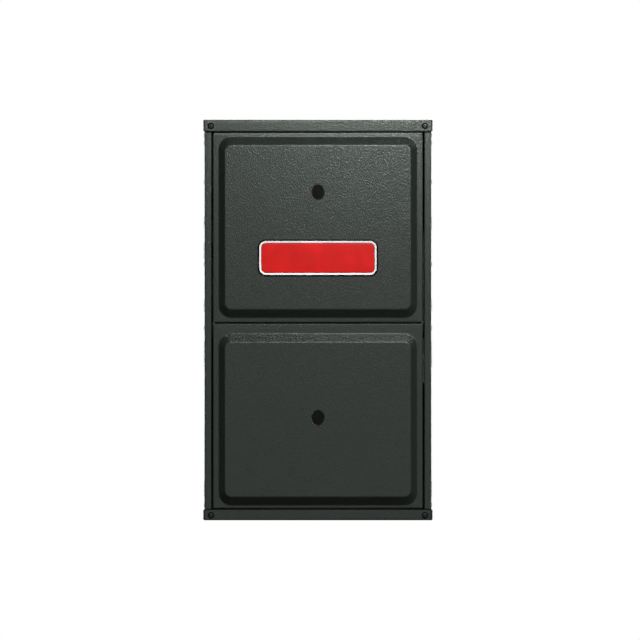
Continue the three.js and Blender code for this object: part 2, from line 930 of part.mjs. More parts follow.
function frontCollector() {
  const low = exchangerFloorZ - burnerZ;
  const high = low + collectorHeight;
  const shell = box(-collectorHalfWidth, collectorHalfWidth, exchangerFront, collectorBack, low, high);
  const inside = box(
    -collectorHalfWidth + sheet,
    collectorHalfWidth - sheet,
    exchangerFront + sheet,
    collectorBack - sheet,
    low + sheet,
    high - sheet,
  );
  const inducerPort = rodY(
    inducerInletRadius,
    exchangerFront - sheet,
    exchangerFront + 2 * sheet,
    inducerX,
    inducerZ - burnerZ,
  );
  const coilPort = box(
    -collectorHalfWidth + 2 * coilFinThickness,
    collectorHalfWidth - 2 * coilFinThickness,
    collectorBack - 2 * sheet,
    collectorBack + sheet,
    low + (coilHeight - coilCore) / 2 + coilFinThickness,
    low + (coilHeight + coilCore) / 2 - coilFinThickness,
  );
  return cut(shell, inside, inducerPort, coilPort);
}

// The finned condensing coil: fins above and below the block of tubes that they are pressed on.
function secondaryCoil() {
  const front = collectorBack + fitGap;
  const length = headerY - fitGap - front;
  const pitch = (length - coilFinThickness) / (coilFinCount - 1);
  const low = exchangerFloorZ - burnerZ;
  const coreLow = low + (coilHeight - coilCore) / 2;
  const outline = [];
  for (let i = 0; i < coilFinCount; i += 1) {
    const y = front + i * pitch;
    outline.push([y, coreLow], [y, low], [y + coilFinThickness, low], [y + coilFinThickness, coreLow]);
  }
  for (let i = coilFinCount - 1; i >= 0; i -= 1) {
    const y = front + i * pitch;
    const coreHigh = coreLow + coilCore;
    const high = low + coilHeight;
    outline.push([y + coilFinThickness, coreHigh], [y + coilFinThickness, high], [y, high], [y, coreHigh]);
  }
  const section = outline.map(([y, z]) => new THREE.Vector2(y, z));
  return extrudeX(section, -collectorHalfWidth, collectorHalfWidth);
}

const exchanger = assembly(0, vestibuleY, burnerZ);
burnerPlaces().forEach((x, i) => {
  place(exchanger, `exchanger_tube_${i + 1}`, exchangerTube(), 'aluminised').position.x = x;
});
place(exchanger, 'rear_header', rearHeader(), 'aluminised');
place(exchanger, 'front_collector', frontCollector(), 'blackPlastic');
place(exchanger, 'secondary_coil', secondaryCoil(), 'stainless');

// ------------------------------------------------ burners and gas train, from the panel forward

function burnerBox() {
  const halfHeight = burnerBoxHeight / 2;
  const shell = box(
    -burnerBoxHalfWidth,
    burnerBoxHalfWidth,
    burnerBoxFront,
    -fitGap,
    -halfHeight,
    halfHeight,
  );
  const inside = box(
    -burnerBoxHalfWidth + sheet,
    burnerBoxHalfWidth - sheet,
    burnerBoxFront + sheet,
    sheet,
    -halfHeight + sheet,
    halfHeight - sheet,
  );
  const frontHole = (radius, x, z, sides) => (
    rodY(radius, burnerBoxFront - sheet, burnerBoxFront + 2 * sheet, x, z, sides)
  );
  const spudHoles = burnerPlaces().map((x) => frontHole(spudRadius + slipGap, x, 0, 10));
  const windowHole = frontHole(boxWindowRadius, 0, boxWindowRise, 16);
  const intakeHole = rodZ(ventBore, halfHeight - 2 * sheet, halfHeight + sheet, intakeX, -intakeSetback);
  const probeHoles = rodX(
    ceramicRadius + fitGap,
    -burnerBoxHalfWidth - sheet,
    burnerBoxHalfWidth + sheet,
    probeY,
    0,
    12,
  );
  return cut(shell, inside, ...spudHoles, windowHole, intakeHole, probeHoles);
}

function boxWindow() {
  const rim = rodY(
    boxWindowRadius + sightRim,
    burnerBoxFront - fitGap - boxWindowThickness,
    burnerBoxFront - fitGap,
    0,
    boxWindowRise,
  );
  const plug = rodY(
    boxWindowRadius - fitGap,
    burnerBoxFront - fitGap,
    burnerBoxFront + 2 * sheet,
    0,
    boxWindowRise,
  );
  return join(rim, plug);
}

function burner() {
  const inner = (radius) => radius - burnerWall;
  const outside = [
    [burnerInletRadius, 0],
    [burnerThroatRadius, burnerThroatStart],
    [burnerThroatRadius, burnerThroatEnd],
    [burnerTubeRadius, burnerTubeStart],
    [burnerTubeRadius, burnerLength - burnerWall],
    [burnerFlangeRadius, burnerLength - burnerWall],
    [burnerFlangeRadius, burnerLength],
  ];
  const inside = [
    [inner(burnerTubeRadius), burnerLength],
    [inner(burnerTubeRadius), burnerTubeStart],
    [inner(burnerThroatRadius), burnerThroatEnd],
    [inner(burnerThroatRadius), burnerThroatStart],
    [inner(burnerInletRadius), 0],
  ];
  return turned([...outside, ...inside, outside[0]], 10);
}

function gasManifold() {
  const left = valveX + valveWidth / 2 + valveBossLength + fitGap;
  const right = -firstBurnerX + spudShoulderRadius + manifoldRadius;
  const spudTip = -fitGap - burnerLength + spudEntry;
  const spuds = burnerPlaces().flatMap((x) => [
    rodY(spudRadius, manifoldY, spudTip, x, 0, 10),
    rodY(spudShoulderRadius, manifoldY, burnerBoxFront - fitGap, x, 0, 6),
  ]);
  return join(rodX(manifoldRadius, left, right, manifoldY, 0, 14), ...spuds);
}

const valveFrontY = manifoldY - valveDepth / 2;

function gasValve() {
  const halfWidth = valveWidth / 2;
  const halfHeight = valveHeight / 2;
  const block = box(
    valveX - halfWidth,
    valveX + halfWidth,
    valveFrontY,
    manifoldY + valveDepth / 2,
    -halfHeight,
    halfHeight,
  );
  const outletBoss = rodX(valveBossRadius, valveX, valveX + halfWidth + valveBossLength, manifoldY, 0, 8);
  const inletBoss = rodZ(
    valveBossRadius + sheet,
    -halfHeight - valveBossLength,
    0,
    valveX,
    manifoldY,
    8,
  );
  const regulator = rodZ(valveBossRadius, 0, halfHeight + valveBossLength, valveX, manifoldY, 12);
  return join(block, outletBoss, inletBoss, regulator);
}

function gasKnob() {
  const disc = rodY(knobRadius, -knobThickness, 0, 0, 0, 20);
  const grip = box(
    -knobGripHalfLength,
    knobGripHalfLength,
    -knobThickness - knobGripHeight,
    -knobThickness / 2,
    -knobGripHalfWidth,
    knobGripHalfWidth,
  );
  return join(disc, grip);
}

function gasSupplyPipe() {
  const start = -valveHeight / 2 - valveBossLength - fitGap;
  return pipe([
    [valveX, manifoldY, start],
    [valveX, manifoldY, supplyPipeZ - burnerZ],
    [-bodyWidth / 2, manifoldY, supplyPipeZ - burnerZ],
  ], supplyPipeRadius, supplyPipeBore, supplyPipeBend, 12);
}

function probe(side) {
  const wall = side * burnerBoxHalfWidth;
  const inward = wall - side * ceramicLength / 2;
  const outward = wall + side * ceramicLength / 2;
  const span = (from, to, radius, sides) => (
    rodX(radius, Math.min(from, to), Math.max(from, to), probeY, 0, sides)
  );
  const collar = wall + side * fitGap;
  return join(
    span(inward, outward, ceramicRadius, 12),
    span(collar, collar + side * probeCollarThickness, probeCollarRadius, 8),
    span(inward + side * fitGap, inward - side * probeReach, probeRadius, 6),
  );
}

function rolloutSwitch(side) {
  const back = burnerBoxFront - fitGap;
  const body = rodY(rolloutRadius, back - rolloutThickness, back, side * rolloutX, rolloutRise, 14);
  const bore = rodY(
    resetButtonRadius + fitGap,
    back - rolloutThickness - sheet,
    back - resetButtonStroke,
    side * rolloutX,
    rolloutRise,
    10,
  );
  return cut(body, bore);
}

function resetButton(side) {
  const back = burnerBoxFront - fitGap;
  return rodY(
    resetButtonRadius,
    back - rolloutThickness - resetButtonProud,
    back - 2 * resetButtonStroke - fitGap,
    side * rolloutX,
    rolloutRise,
    10,
  );
}

const gasTrain = assembly(0, vestibuleY, burnerZ);
place(gasTrain, 'burner_box', burnerBox(), 'galvanised');
place(gasTrain, 'burner_box_window', boxWindow(), 'sightGlass');
burnerPlaces().forEach((x, i) => {
  place(gasTrain, `burner_${i + 1}`, burner(), 'aluminised').position.set(x, -fitGap - burnerLength, 0);
});
place(gasTrain, 'gas_manifold', gasManifold(), 'blackPipe');
place(gasTrain, 'gas_valve', gasValve(), 'castAluminium');
place(gasTrain, 'gas_knob', gasKnob(), 'redPlastic').position.set(valveX, valveFrontY - fitGap, 0);
place(gasTrain, 'gas_supply_pipe', gasSupplyPipe(), 'blackPipe');
place(gasTrain, 'igniter', probe(1), 'ceramic');
place(gasTrain, 'flame_sensor', probe(-1), 'ceramic');
[['left', -1], ['right', 1]].forEach(([name, side]) => {
  place(gasTrain, `${name}_rollout_switch`, rolloutSwitch(side), 'blackPlastic');
  place(gasTrain, `${name}_reset_button`, resetButton(side), 'redPlastic');
});

// ------------------------------------------------ scroll housings

// A volute drawn in (u, v): it grows round the wheel and leaves along +v, with its outer wall at +u.
function scrollOutline({ cutoffAngle, cutoffRadius, endRadius, reach, offset, steps }) {
  const start = radians(cutoffAngle);
  const points = [];
  for (let i = 0; i <= steps; i += 1) {
    const angle = start + (2 * Math.PI - start) * i / steps;
    const radius = cutoffRadius + (endRadius - cutoffRadius) * i / steps - offset;
    points.push([radius * Math.cos(angle), radius * Math.sin(angle)]);
  }
  points.push([endRadius - offset, reach], [cutoffRadius * Math.cos(start) + offset, reach]);
  return points;
}

// ------------------------------------------------ inducer, vent and intake

const ventY = inducerMidY;
const ventStart = inducerX + inducerOutletReach + ventStubLength + fitGap;

function inducerOutline(offset, reach) {
  return scrollOutline({
    cutoffAngle: inducerCutoffAngle,
    cutoffRadius: inducerCutoffRadius,
    endRadius: inducerEndRadius,
    reach,
    offset,
    steps: inducerScrollSteps,
  }).map(([u, v]) => new THREE.Vector2(v, u));
}

function inducerHousing() {
  const stubZ = ventZ - inducerZ;
  const stubEnd = inducerOutletReach + ventStubLength;
  const shell = join(
    extrudeY(inducerOutline(0, inducerOutletReach), inducerFaceY, -fitGap),
    rodX(ventRadius, inducerOutletReach - inducerWall, stubEnd, inducerMidY, stubZ, 16),
  );
  const inside = extrudeY(
    inducerOutline(inducerWall, inducerOutletReach - inducerWall),
    inducerFaceY + inducerWall,
    -fitGap - inducerWall,
  );
  return cut(
    shell,
    inside,
    rodX(ventBore, inducerOutletReach - 2 * inducerWall, stubEnd + sheet, inducerMidY, stubZ, 16),
    rodY(inducerInletRadius, -2 * inducerWall, sheet, 0, 0),
    rodY(inducerShaftRadius + slipGap, inducerFaceY - sheet, inducerFaceY + 2 * inducerWall, 0, 0, 12),
  );
}

function inducerWheel() {
  const back = inducerFaceY + inducerWall + inducerWheelGap;
  const disc = rodY(inducerWheelRadius, back, back + sheet * 2, 0, 0, 24);
  const hub = rodY(inducerHubRadius, back, back + inducerWheelDepth, 0, 0, 12);
  const shaft = rodY(
    inducerShaftRadius,
    inducerFaceY - inducerShaftReach,
    back + inducerWheelDepth,
    0,
    0,
    12,
  );
  const blades = Array.from({ length: inducerBladeCount }, (_, i) => (
    box(
      inducerShaftRadius,
      inducerWheelRadius - sheet,
      back + sheet,
      back + inducerWheelDepth,
      -sheet / 2,
      sheet / 2,
    ).rotateY(2 * Math.PI * i / inducerBladeCount)
  ));
  return join(disc, hub, shaft, ...blades);
}

function inducerMotor() {
  const bore = inducerShaftRadius + slipGap;
  const flangeThickness = 2 * sheet;
  const boreEnd = -inducerShaftReach - 2 * slipGap;
  return turned([
    [0, -inducerMotorLength],
    [inducerMotorNoseRadius, -inducerMotorLength],
    [inducerMotorRadius, inducerMotorShoulder - inducerMotorLength],
    [inducerMotorRadius, -flangeThickness],
    [inducerFlangeRadius, -flangeThickness],
    [inducerFlangeRadius, 0],
    [bore, 0],
    [bore, boreEnd],
    [0, boreEnd],
  ], 20);
}

function ventPipe() {
  return pipe([
    [ventStart, ventY, ventZ],
    [ventX, ventY, ventZ],
    [ventX, ventY, cabinetHeight - fitGap],
  ], ventRadius, ventBore, ventBend, 16);
}

function ventCoupling() {
  const outer = circle(ventRadius + slipGap + couplingWall, 16);
  const bore = circle(ventRadius + slipGap, 16);
  return extrudeX(outer, ventStart - couplingLength / 2, ventStart + couplingLength / 2, [bore])
    .translate(0, ventY, ventZ);
}

const inducer = assembly(inducerX, vestibuleY, inducerZ);
place(inducer, 'inducer_housing', inducerHousing(), 'blackPlastic');
place(inducer, 'inducer_wheel', inducerWheel(), 'blackPlastic');
place(inducer, 'inducer_motor', inducerMotor(), 'motorShell').position.y = inducerFaceY - fitGap;

const flue = assembly(0, vestibuleY, 0);
place(flue, 'vent_pipe', ventPipe(), 'whitePlastic');
place(flue, 'vent_coupling', ventCoupling(), 'rubber');
place(flue, 'intake_pipe', extrudeZ(
  circle(ventRadius, 16),
  burnerZ + burnerBoxHeight / 2 + fitGap,
  cabinetHeight - fitGap,
  [circle(ventBore, 16)],
), 'whitePlastic').position.set(intakeX, -intakeSetback, 0);

// ------------------------------------------------ pressure switch and condensate

function pressureSwitch() {
  const disc = rodY(pressureSwitchRadius, -fitGap - pressureSwitchDepth, -fitGap, 0, 0, 20);
  const tip = -fitGap - pressureSwitchDepth - pressureNippleLength;
  return join(disc, rodY(pressureNippleRadius, tip, -fitGap - pressureSwitchDepth / 2, 0, 0, 10));
}

function pressureTube() {
  const start = -2 * fitGap - pressureSwitchDepth - pressureNippleLength;
  const loopY = inducerFaceY - 2 * hoseBend;
  return pipe([
    [pressureSwitchX, start, pressureSwitchZ],
    [pressureSwitchX, loopY, pressureSwitchZ],
    [inducerX + pressurePortX, loopY, inducerZ + pressurePortRise],
    [inducerX + pressurePortX, inducerFaceY - fitGap, inducerZ + pressurePortRise],
  ], pressureTubeRadius, 0, hoseBend, 8);
}

function condensateTrap() {
  const low = deckTopZ + fitGap;
  return box(
    trapX - trapWidth / 2,
    trapX + trapWidth / 2,
    trapY - trapDepth / 2,
    trapY + trapDepth / 2,
    low,
    low + trapHeight,
  );
}

function drainHose() {
  const loopY = inducerFaceY - 2 * hoseBend;
  const portZ = inducerZ - drainPortDrop;
  return pipe([
    [inducerX + drainPortX, inducerFaceY - fitGap, portZ],
    [inducerX + drainPortX, loopY, portZ],
    [trapX + trapWidth / 2 + fitGap, loopY, portZ],
  ], drainHoseRadius, 0, hoseBend, 10);
}

place(flue, 'pressure_switch', pressureSwitch(), 'blackPlastic')
  .position.set(pressureSwitchX, 0, pressureSwitchZ);
place(flue, 'pressure_tube', pressureTube(), 'rubber');
place(flue, 'condensate_trap', condensateTrap(), 'whitePlastic');
place(flue, 'drain_hose', drainHose(), 'rubber');

// ------------------------------------------------ blower, about the wheel's axis

const blowerTop = deckBottomZ - fitGap - blowerZ;

function blowerOutline(offset, reach) {
  return scrollOutline({
    cutoffAngle: blowerCutoffAngle,
    cutoffRadius: blowerCutoffRadius,
    endRadius: blowerEndRadius,
    reach,
    offset,
    steps: blowerScrollSteps,
  }).map(([u, v]) => new THREE.Vector2(u, v));
}

function blowerHousing() {
  const scroll = extrudeX(blowerOutline(0, blowerTop), -blowerHalfWidth, blowerHalfWidth);
  const flange = box(
    -blowerHalfWidth - blowerFlange,
    blowerHalfWidth + blowerFlange,
    blowerCutoffRadius * Math.cos(radians(blowerCutoffAngle)),
    blowerEndRadius,
    blowerTop - sheet,
    blowerTop,
  );
  const inside = extrudeX(
    blowerOutline(sheet, blowerTop + sheet),
    -blowerHalfWidth + sheet,
    blowerHalfWidth - sheet,
  );
  const inlets = rodX(blowerInletRadius, -blowerHalfWidth - sheet, blowerHalfWidth + sheet, 0, 0, 32);
  return cut(join(scroll, flange), inside, inlets);
}

function blowerWheel() {
  const ring = (from) => extrudeX(
    circle(wheelRadius, wheelBladeCount),
    from,
    from + wheelRingThickness,
    [circle(wheelRadius - wheelBladeDepth, wheelBladeCount)],
  );
  const discRadius = wheelRadius - wheelBladeDepth / 2;
  const disc = rodX(discRadius, -wheelDiscThickness / 2, wheelDiscThickness / 2, 0, 0, wheelBladeCount);
  const hub = rodX(wheelHubRadius, -wheelHubLength / 2, wheelHubLength / 2, 0, 0, 16);
  const blade = box(
    -wheelHalfWidth + sheet,
    wheelHalfWidth - sheet,
    -wheelBladeDepth * bladeShare,
    wheelBladeDepth * bladeShare,
    -sheet / 2,
    sheet / 2,
  ).rotateX(radians(bladeRake)).translate(0, wheelRadius - wheelBladeDepth / 2, 0);
  const blades = Array.from({ length: wheelBladeCount }, (_, i) => (
    blade.clone().rotateX(2 * Math.PI * (i + 0.5) / wheelBladeCount)
  ));
  const wheel = join(ring(-wheelHalfWidth), ring(wheelHalfWidth - wheelRingThickness), disc, hub, ...blades);
  const bore = rodX(blowerShaftRadius + fitGap, -wheelHubLength, wheelHubLength, 0, 0, 12);
  return cut(wheel, bore);
}

function blowerMotor() {
  const bore = blowerShaftRadius + slipGap;
  const end = blowerMotorInset + blowerMotorLength;
  const boreEnd = blowerMotorInset + blowerShaftReach + 2 * slipGap;
  return turned([
    [0, boreEnd],
    [bore, boreEnd],
    [bore, blowerMotorInset],
    [blowerMotorNoseRadius, blowerMotorInset],
    [blowerMotorRadius, blowerMotorInset + blowerMotorShoulder],
    [blowerMotorRadius, end - blowerMotorShoulder],
    [blowerMotorNoseRadius, end],
    [0, end],
  ], 24).rotateZ(-Math.PI / 2);
}

function motorMount() {
  const inner = blowerMotorRadius + fitGap;
  const outer = inner + mountBandThickness;
  const armX = blowerHalfWidth + fitGap;
  const band = extrudeX(
    circle(outer, 24),
    armX + mountBandThickness - mountBandWidth,
    armX + mountBandThickness,
    [circle(inner, 24)],
  );
  const arms = Array.from({ length: mountArmCount }, (_, i) => (
    box(
      armX,
      armX + mountBandThickness,
      outer - mountBandThickness / 2,
      blowerInletRadius + mountArmReach,
      -mountArmWidth / 2,
      mountArmWidth / 2,
    ).rotateX(Math.PI / 2 + 2 * Math.PI * i / mountArmCount)
  ));
  return join(band, ...arms);
}

function blowerRail(side) {
  const webX = side * (blowerHalfWidth + blowerFlange + fitGap + sheet / 2);
  const section = foldedSheet([
    [webX + side * blowerFlange, deckBottomZ - fitGap - sheet / 2],
    [webX, deckBottomZ - fitGap - sheet / 2],
    [webX, blowerZ + blowerTop - sheet - fitGap - sheet / 2],
    [webX - side * (blowerFlange - sheetBend), blowerZ + blowerTop - sheet - fitGap - sheet / 2],
  ], sheet / 2);
  return extrudeY(section, blowerOutlet.front - sheet, blowerOutlet.back + sheet);
}

const blower = assembly(0, blowerY, blowerZ);
place(blower, 'blower_housing', blowerHousing(), 'galvanised');
place(blower, 'blower_wheel', blowerWheel(), 'galvanised');
place(blower, 'blower_motor', blowerMotor(), 'motorShell');
place(blower, 'motor_mount', motorMount(), 'galvanised');
place(blower, 'motor_shaft', rodX(
  blowerShaftRadius,
  -wheelHubLength / 2,
  blowerMotorInset + blowerShaftReach,
  0,
  0,
  12,
), 'shaftSteel');
place(cabinet, 'left_blower_rail', blowerRail(-1), 'galvanised');
place(cabinet, 'right_blower_rail', blowerRail(1), 'galvanised');

// ------------------------------------------------ controls

const controlPlateY = blowerY - blowerCutoffRadius - controlClearance;
const controlSideX = blowerHalfWidth + fitGap + sheet / 2;

function controlBracket() {
  const armEnd = blowerY - controlArmReach;
  const section = foldedSheet([
    [-controlSideX, armEnd],
    [-controlSideX, controlPlateY],
    [controlSideX, controlPlateY],
    [controlSideX, armEnd],
  ]);
  return extrudeZ(section, -controlHeight / 2, controlHeight / 2);
}

function controlBoard() {
  const back = controlPlateY - sheet / 2 - fitGap;
  const face = back - boardPostLength;
  const halfHeight = boardHeight / 2;
  const board = box(-boardHalfWidth, boardHalfWidth, face - boardThickness, face, -halfHeight, halfHeight);
  const posts = [-1, 1].flatMap((x) => [-1, 1].map((z) => rodY(
    boardPostRadius,
    face - boardThickness / 2,
    back,
    x * (boardHalfWidth - boardPostInset),
    z * (halfHeight - boardPostInset),
    8,
  )));
  return join(board, ...posts);
}

function transformer() {
  const left = controlSideX + sheet / 2 + fitGap;
  const front = controlPlateY + sheetBend;
  const halfHeight = transformerHeight / 2;
  const core = box(left, left + transformerWidth, front, front + transformerDepth, -halfHeight, halfHeight);
  const cheek = (y0, y1) => box(
    left + transformerStackInset,
    left + transformerWidth + sheet,
    y0,
    y1,
    -halfHeight - sheet,
    -halfHeight + transformerStackInset,
  );
  return cut(
    core,
    cheek(front - sheet, front + transformerStackInset),
    cheek(front + transformerDepth - transformerStackInset, front + transformerDepth + sheet),
  );
}

const doorInnerY = frontY + sheet;
const switchFrontY = doorInnerY + plungerProud;

function doorSwitch() {
  const top = doorSplitZ - doorSplitGap / 2 - sheet - slipGap;
  const body = box(
    -doorSwitchWidth / 2,
    doorSwitchWidth / 2,
    switchFrontY,
    deckLipFront - fitGap,
    top - doorSwitchHeight,
    top,
  );
  const bore = rodY(
    plungerRadius + fitGap,
    switchFrontY - sheet,
    doorInnerY + fitGap + plungerLength + plungerStroke + fitGap,
    0,
    doorSplitZ - plungerDrop,
    12,
  );
  return cut(body, bore);
}

function junctionBox() {
  const outer = insideHalfWidth - fitGap;
  const halfDepth = junctionDepth / 2;
  const halfHeight = junctionHeight / 2;
  const shell = box(
    outer - junctionWidth,
    outer,
    junctionY - halfDepth,
    junctionY + halfDepth,
    junctionZ - halfHeight,
    junctionZ + halfHeight,
  );
  const inside = box(
    outer - junctionWidth + sheet,
    outer + sheet,
    junctionY - halfDepth + sheet,
    junctionY + halfDepth - sheet,
    junctionZ - halfHeight + sheet,
    junctionZ + halfHeight - sheet,
  );
  return cut(shell, inside);
}

const controls = assembly(0, 0, lowerSightZ);
place(controls, 'control_bracket', controlBracket(), 'galvanised');
place(controls, 'control_board', controlBoard(), 'circuitBoard');
place(controls, 'transformer', transformer(), 'coilVarnish');
place(cabinet, 'door_switch', doorSwitch(), 'blackPlastic').position.x = doorSwitchX;
place(cabinet, 'door_switch_plunger', rodY(
  plungerRadius,
  doorInnerY + fitGap,
  doorInnerY + fitGap + plungerLength,
  doorSwitchX,
  doorSplitZ - plungerDrop,
  12,
), 'redPlastic');
place(cabinet, 'junction_box', junctionBox(), 'galvanised');

export default furnace;
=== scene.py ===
"""The looks of a forced air gas furnace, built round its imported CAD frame."""

import json
import math

import bmesh
import bpy
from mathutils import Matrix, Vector

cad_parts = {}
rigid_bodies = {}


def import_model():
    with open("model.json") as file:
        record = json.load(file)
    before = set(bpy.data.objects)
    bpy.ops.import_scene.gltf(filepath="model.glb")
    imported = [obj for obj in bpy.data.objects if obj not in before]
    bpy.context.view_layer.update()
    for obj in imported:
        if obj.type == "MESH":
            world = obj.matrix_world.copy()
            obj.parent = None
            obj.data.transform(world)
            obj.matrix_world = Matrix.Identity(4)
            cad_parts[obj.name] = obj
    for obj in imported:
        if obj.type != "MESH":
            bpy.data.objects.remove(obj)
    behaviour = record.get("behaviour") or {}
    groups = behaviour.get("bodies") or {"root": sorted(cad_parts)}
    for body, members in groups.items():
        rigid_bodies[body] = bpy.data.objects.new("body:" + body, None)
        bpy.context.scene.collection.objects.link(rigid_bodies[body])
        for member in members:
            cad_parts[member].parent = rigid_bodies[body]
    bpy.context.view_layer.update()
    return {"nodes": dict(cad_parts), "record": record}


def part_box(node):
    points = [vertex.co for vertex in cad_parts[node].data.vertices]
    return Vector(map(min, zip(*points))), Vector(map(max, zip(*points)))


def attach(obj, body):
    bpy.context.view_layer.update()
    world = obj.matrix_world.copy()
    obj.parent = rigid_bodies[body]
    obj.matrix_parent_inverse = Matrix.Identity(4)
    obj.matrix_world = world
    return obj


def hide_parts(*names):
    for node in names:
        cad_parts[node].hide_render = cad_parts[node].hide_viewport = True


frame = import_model()
scene = bpy.context.scene
MM = 0.001

# ---------------- small helpers


def mm(*values):
    """A point given in millimetres."""
    return Vector(v * MM for v in values)


def centre_of(node):
    """The middle of a CAD node's box."""
    low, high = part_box(node)
    return (low + high) / 2


def new_object(name, mesh, look, body):
    """A mesh as a piece of the scene that rides on a body."""
    obj = bpy.data.objects.new(name, mesh)
    scene.collection.objects.link(obj)
    for one in look if isinstance(look, (list, tuple)) else [look]:
        mesh.materials.append(one)
    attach(obj, body)
    return obj


def finish_mesh(name, bm, smooth_angle=40):
    """Turns a bmesh into a mesh that is smooth except at edges sharper than smooth_angle."""
    bmesh.ops.remove_doubles(bm, verts=bm.verts, dist=1e-7)
    bmesh.ops.recalc_face_normals(bm, faces=bm.faces)
    limit = math.radians(smooth_angle)
    for face in bm.faces:
        face.smooth = True
    for edge in bm.edges:
        edge.smooth = edge.is_manifold and edge.calc_face_angle(0) < limit
    mesh = bpy.data.meshes.new(name)
    bm.to_mesh(mesh)
    bm.free()
    return mesh


def rounded_rectangle(half_width, half_height, corner, steps=12):
    """An outline round (0, 0) whose corners have this radius."""
    points = []
    for cx, cy, start in ((1, 1, 0), (-1, 1, 90), (-1, -1, 180), (1, -1, 270)):
        for i in range(steps + 1):
            a = math.radians(start + 90 * i / steps)
            points.append((
                cx * (half_width - corner) + corner * math.cos(a),
                cy * (half_height - corner) + corner * math.sin(a),
            ))
    return points


def ellipse(rx, ry, count, start=0.0):
    """Points spread round an ellipse, from start degrees."""
    turns = (math.radians(start) + 2 * math.pi * i / count for i in range(count))
    return [(rx * math.cos(a), ry * math.sin(a)) for a in turns]


def hexagon(corner, count):
    """A hexagon's outline with count points, where corner is the distance from its middle to a corner."""
    points = []
    for i in range(count):
        a = 2 * math.pi * i / count
        r = corner * math.cos(math.pi / 6) / math.cos(a % (math.pi / 3) - math.pi / 6)
        points.append((r * math.cos(a), r * math.sin(a)))
    return points


def add_skin(bm, loops, materials, caps=True):
    """Joins loops of points in their order. materials has one index for each loop."""
    for near, far, material in zip(loops, loops[1:], materials):
        for i in range(len(near)):
            j = (i + 1) % len(near)
            bm.faces.new((near[i], near[j], far[j], far[i])).material_index = material
    if caps:
        bm.faces.new(loops[0]).material_index = materials[0]
        bm.faces.new(loops[-1]).material_index = materials[-1]


def add_rings(bm, rings, place, materials, caps=True):
    """Lofts (outline, height) pairs of the same count. place turns (u, v, height) into a point."""
    add_skin(bm, [[bm.verts.new(place(u, v, h)) for u, v in outline] for outline, h in rings], materials, caps)


def axes(direction):
    """Two unit directions across a direction, and the direction itself."""
    d = Vector(direction).normalized()
    up = Vector((0, 0, 1)) if abs(d.z) < 0.9 else Vector((0, 1, 0))
    side = up.cross(d).normalized()
    return side, d.cross(side), d


def placer(origin, direction):
    """A placing function whose height runs along direction, from origin."""
    u_axis, v_axis, d = axes(direction)
    origin = Vector(origin)
    return lambda u, v, h: origin + u_axis * u + v_axis * v + d * h


def add_turned(bm, origin, direction, profile, count, material, caps=True):
    """A turned form from (radius, height) pairs."""
    rings = [(ellipse(r, r, count), h) for r, h in profile]
    add_rings(bm, rings, placer(origin, direction), [material] * len(rings), caps)


def add_box(bm, low, high, bevel, segments=2, material=0):
    """A box with bevelled edges, joined into bm."""
    part = bmesh.new()
    bmesh.ops.create_cube(part, size=1)
    low, high = Vector(low), Vector(high)
    size = high - low
    for v in part.verts:
        v.co = Vector(a * b for a, b in zip(v.co, size)) + (low + high) / 2
    bmesh.ops.bevel(
        part, geom=part.edges, offset=bevel, segments=segments, profile=0.6, affect="EDGES", clamp_overlap=True,
    )
    for face in part.faces:
        face.material_index = material
    mesh = bpy.data.meshes.new("part")
    part.to_mesh(mesh)
    part.free()
    bm.from_mesh(mesh)
    bpy.data.meshes.remove(mesh)


def smooth_path(points, passes=3):
    """Rounds a path's corners and keeps its ends (Chaikin's method)."""
    path = list(points)
    for _ in range(passes):
        cut = [path[0]]
        for a, b in zip(path, path[1:]):
            cut += [a.lerp(b, 0.25), a.lerp(b, 0.75)]
        path = cut + [path[-1]]
    return path


def add_tube(bm, path, radius, count, material):
    """A round tube along a path, with closed ends."""
    tangents = []
    for i in range(len(path)):
        a, b = path[max(i - 1, 0)], path[min(i + 1, len(path) - 1)]
        tangents.append((b - a).normalized())
    side, _, _ = axes(tangents[0])
    loops = []
    for point, tangent in zip(path, tangents):
        side = (side - tangent * side.dot(tangent)).normalized()
        other = tangent.cross(side)
        loops.append([
            bm.verts.new(point + (side * math.cos(t) + other * math.sin(t)) * radius)
            for t in (2 * math.pi * i / count for i in range(count))
        ])
    add_skin(bm, loops, [material] * len(loops))


# ---------------- camera, floor and lights


VIEW_WIDTH = 1.3997
VIEW_MIDDLE = (0.0046, 0.438)
SKY = [(0.0, 0.02), (0.46, 0.03), (0.52, 0.12), (0.66, 0.08), (0.8, 0.03), (1.0, 0.02)]


def make_camera():
    """The photograph is a dead-on front view without visible perspective."""
    data = bpy.data.cameras.new("camera")
    data.type = "ORTHO"
    data.ortho_scale = VIEW_WIDTH
    data.clip_end = 60
    camera = bpy.data.objects.new("camera", data)
    scene.collection.objects.link(camera)
    camera.location = (VIEW_MIDDLE[0], -3.2, VIEW_MIDDLE[1])
    camera.rotation_euler = (math.radians(90), 0, 0)
    scene.camera = camera


def make_floor():
    """A pale floor that glows faintly and gives the furnace no bounce light or reflection."""
    bm = bmesh.new()
    bmesh.ops.create_grid(bm, x_segments=8, y_segments=8, size=14)
    mesh = bpy.data.meshes.new("floor")
    bm.to_mesh(mesh)
    bm.free()
    floor = bpy.data.objects.new("floor", mesh)
    scene.collection.objects.link(floor)
    g = Graph("floor_paper")
    shade = g.noise(scale=1.4, detail=2)
    g.set("Base Color", g.ramp(shade, [(0.3, (0.37, 0.37, 0.367)), (0.7, (0.40, 0.40, 0.397))]))
    g.set("Roughness", 0.85)
    g.set("Emission Color", (1, 1, 1, 1))
    g.set("Emission Strength", 0.45)
    mesh.materials.append(g.material)
    floor.visible_diffuse = False
    floor.visible_glossy = False


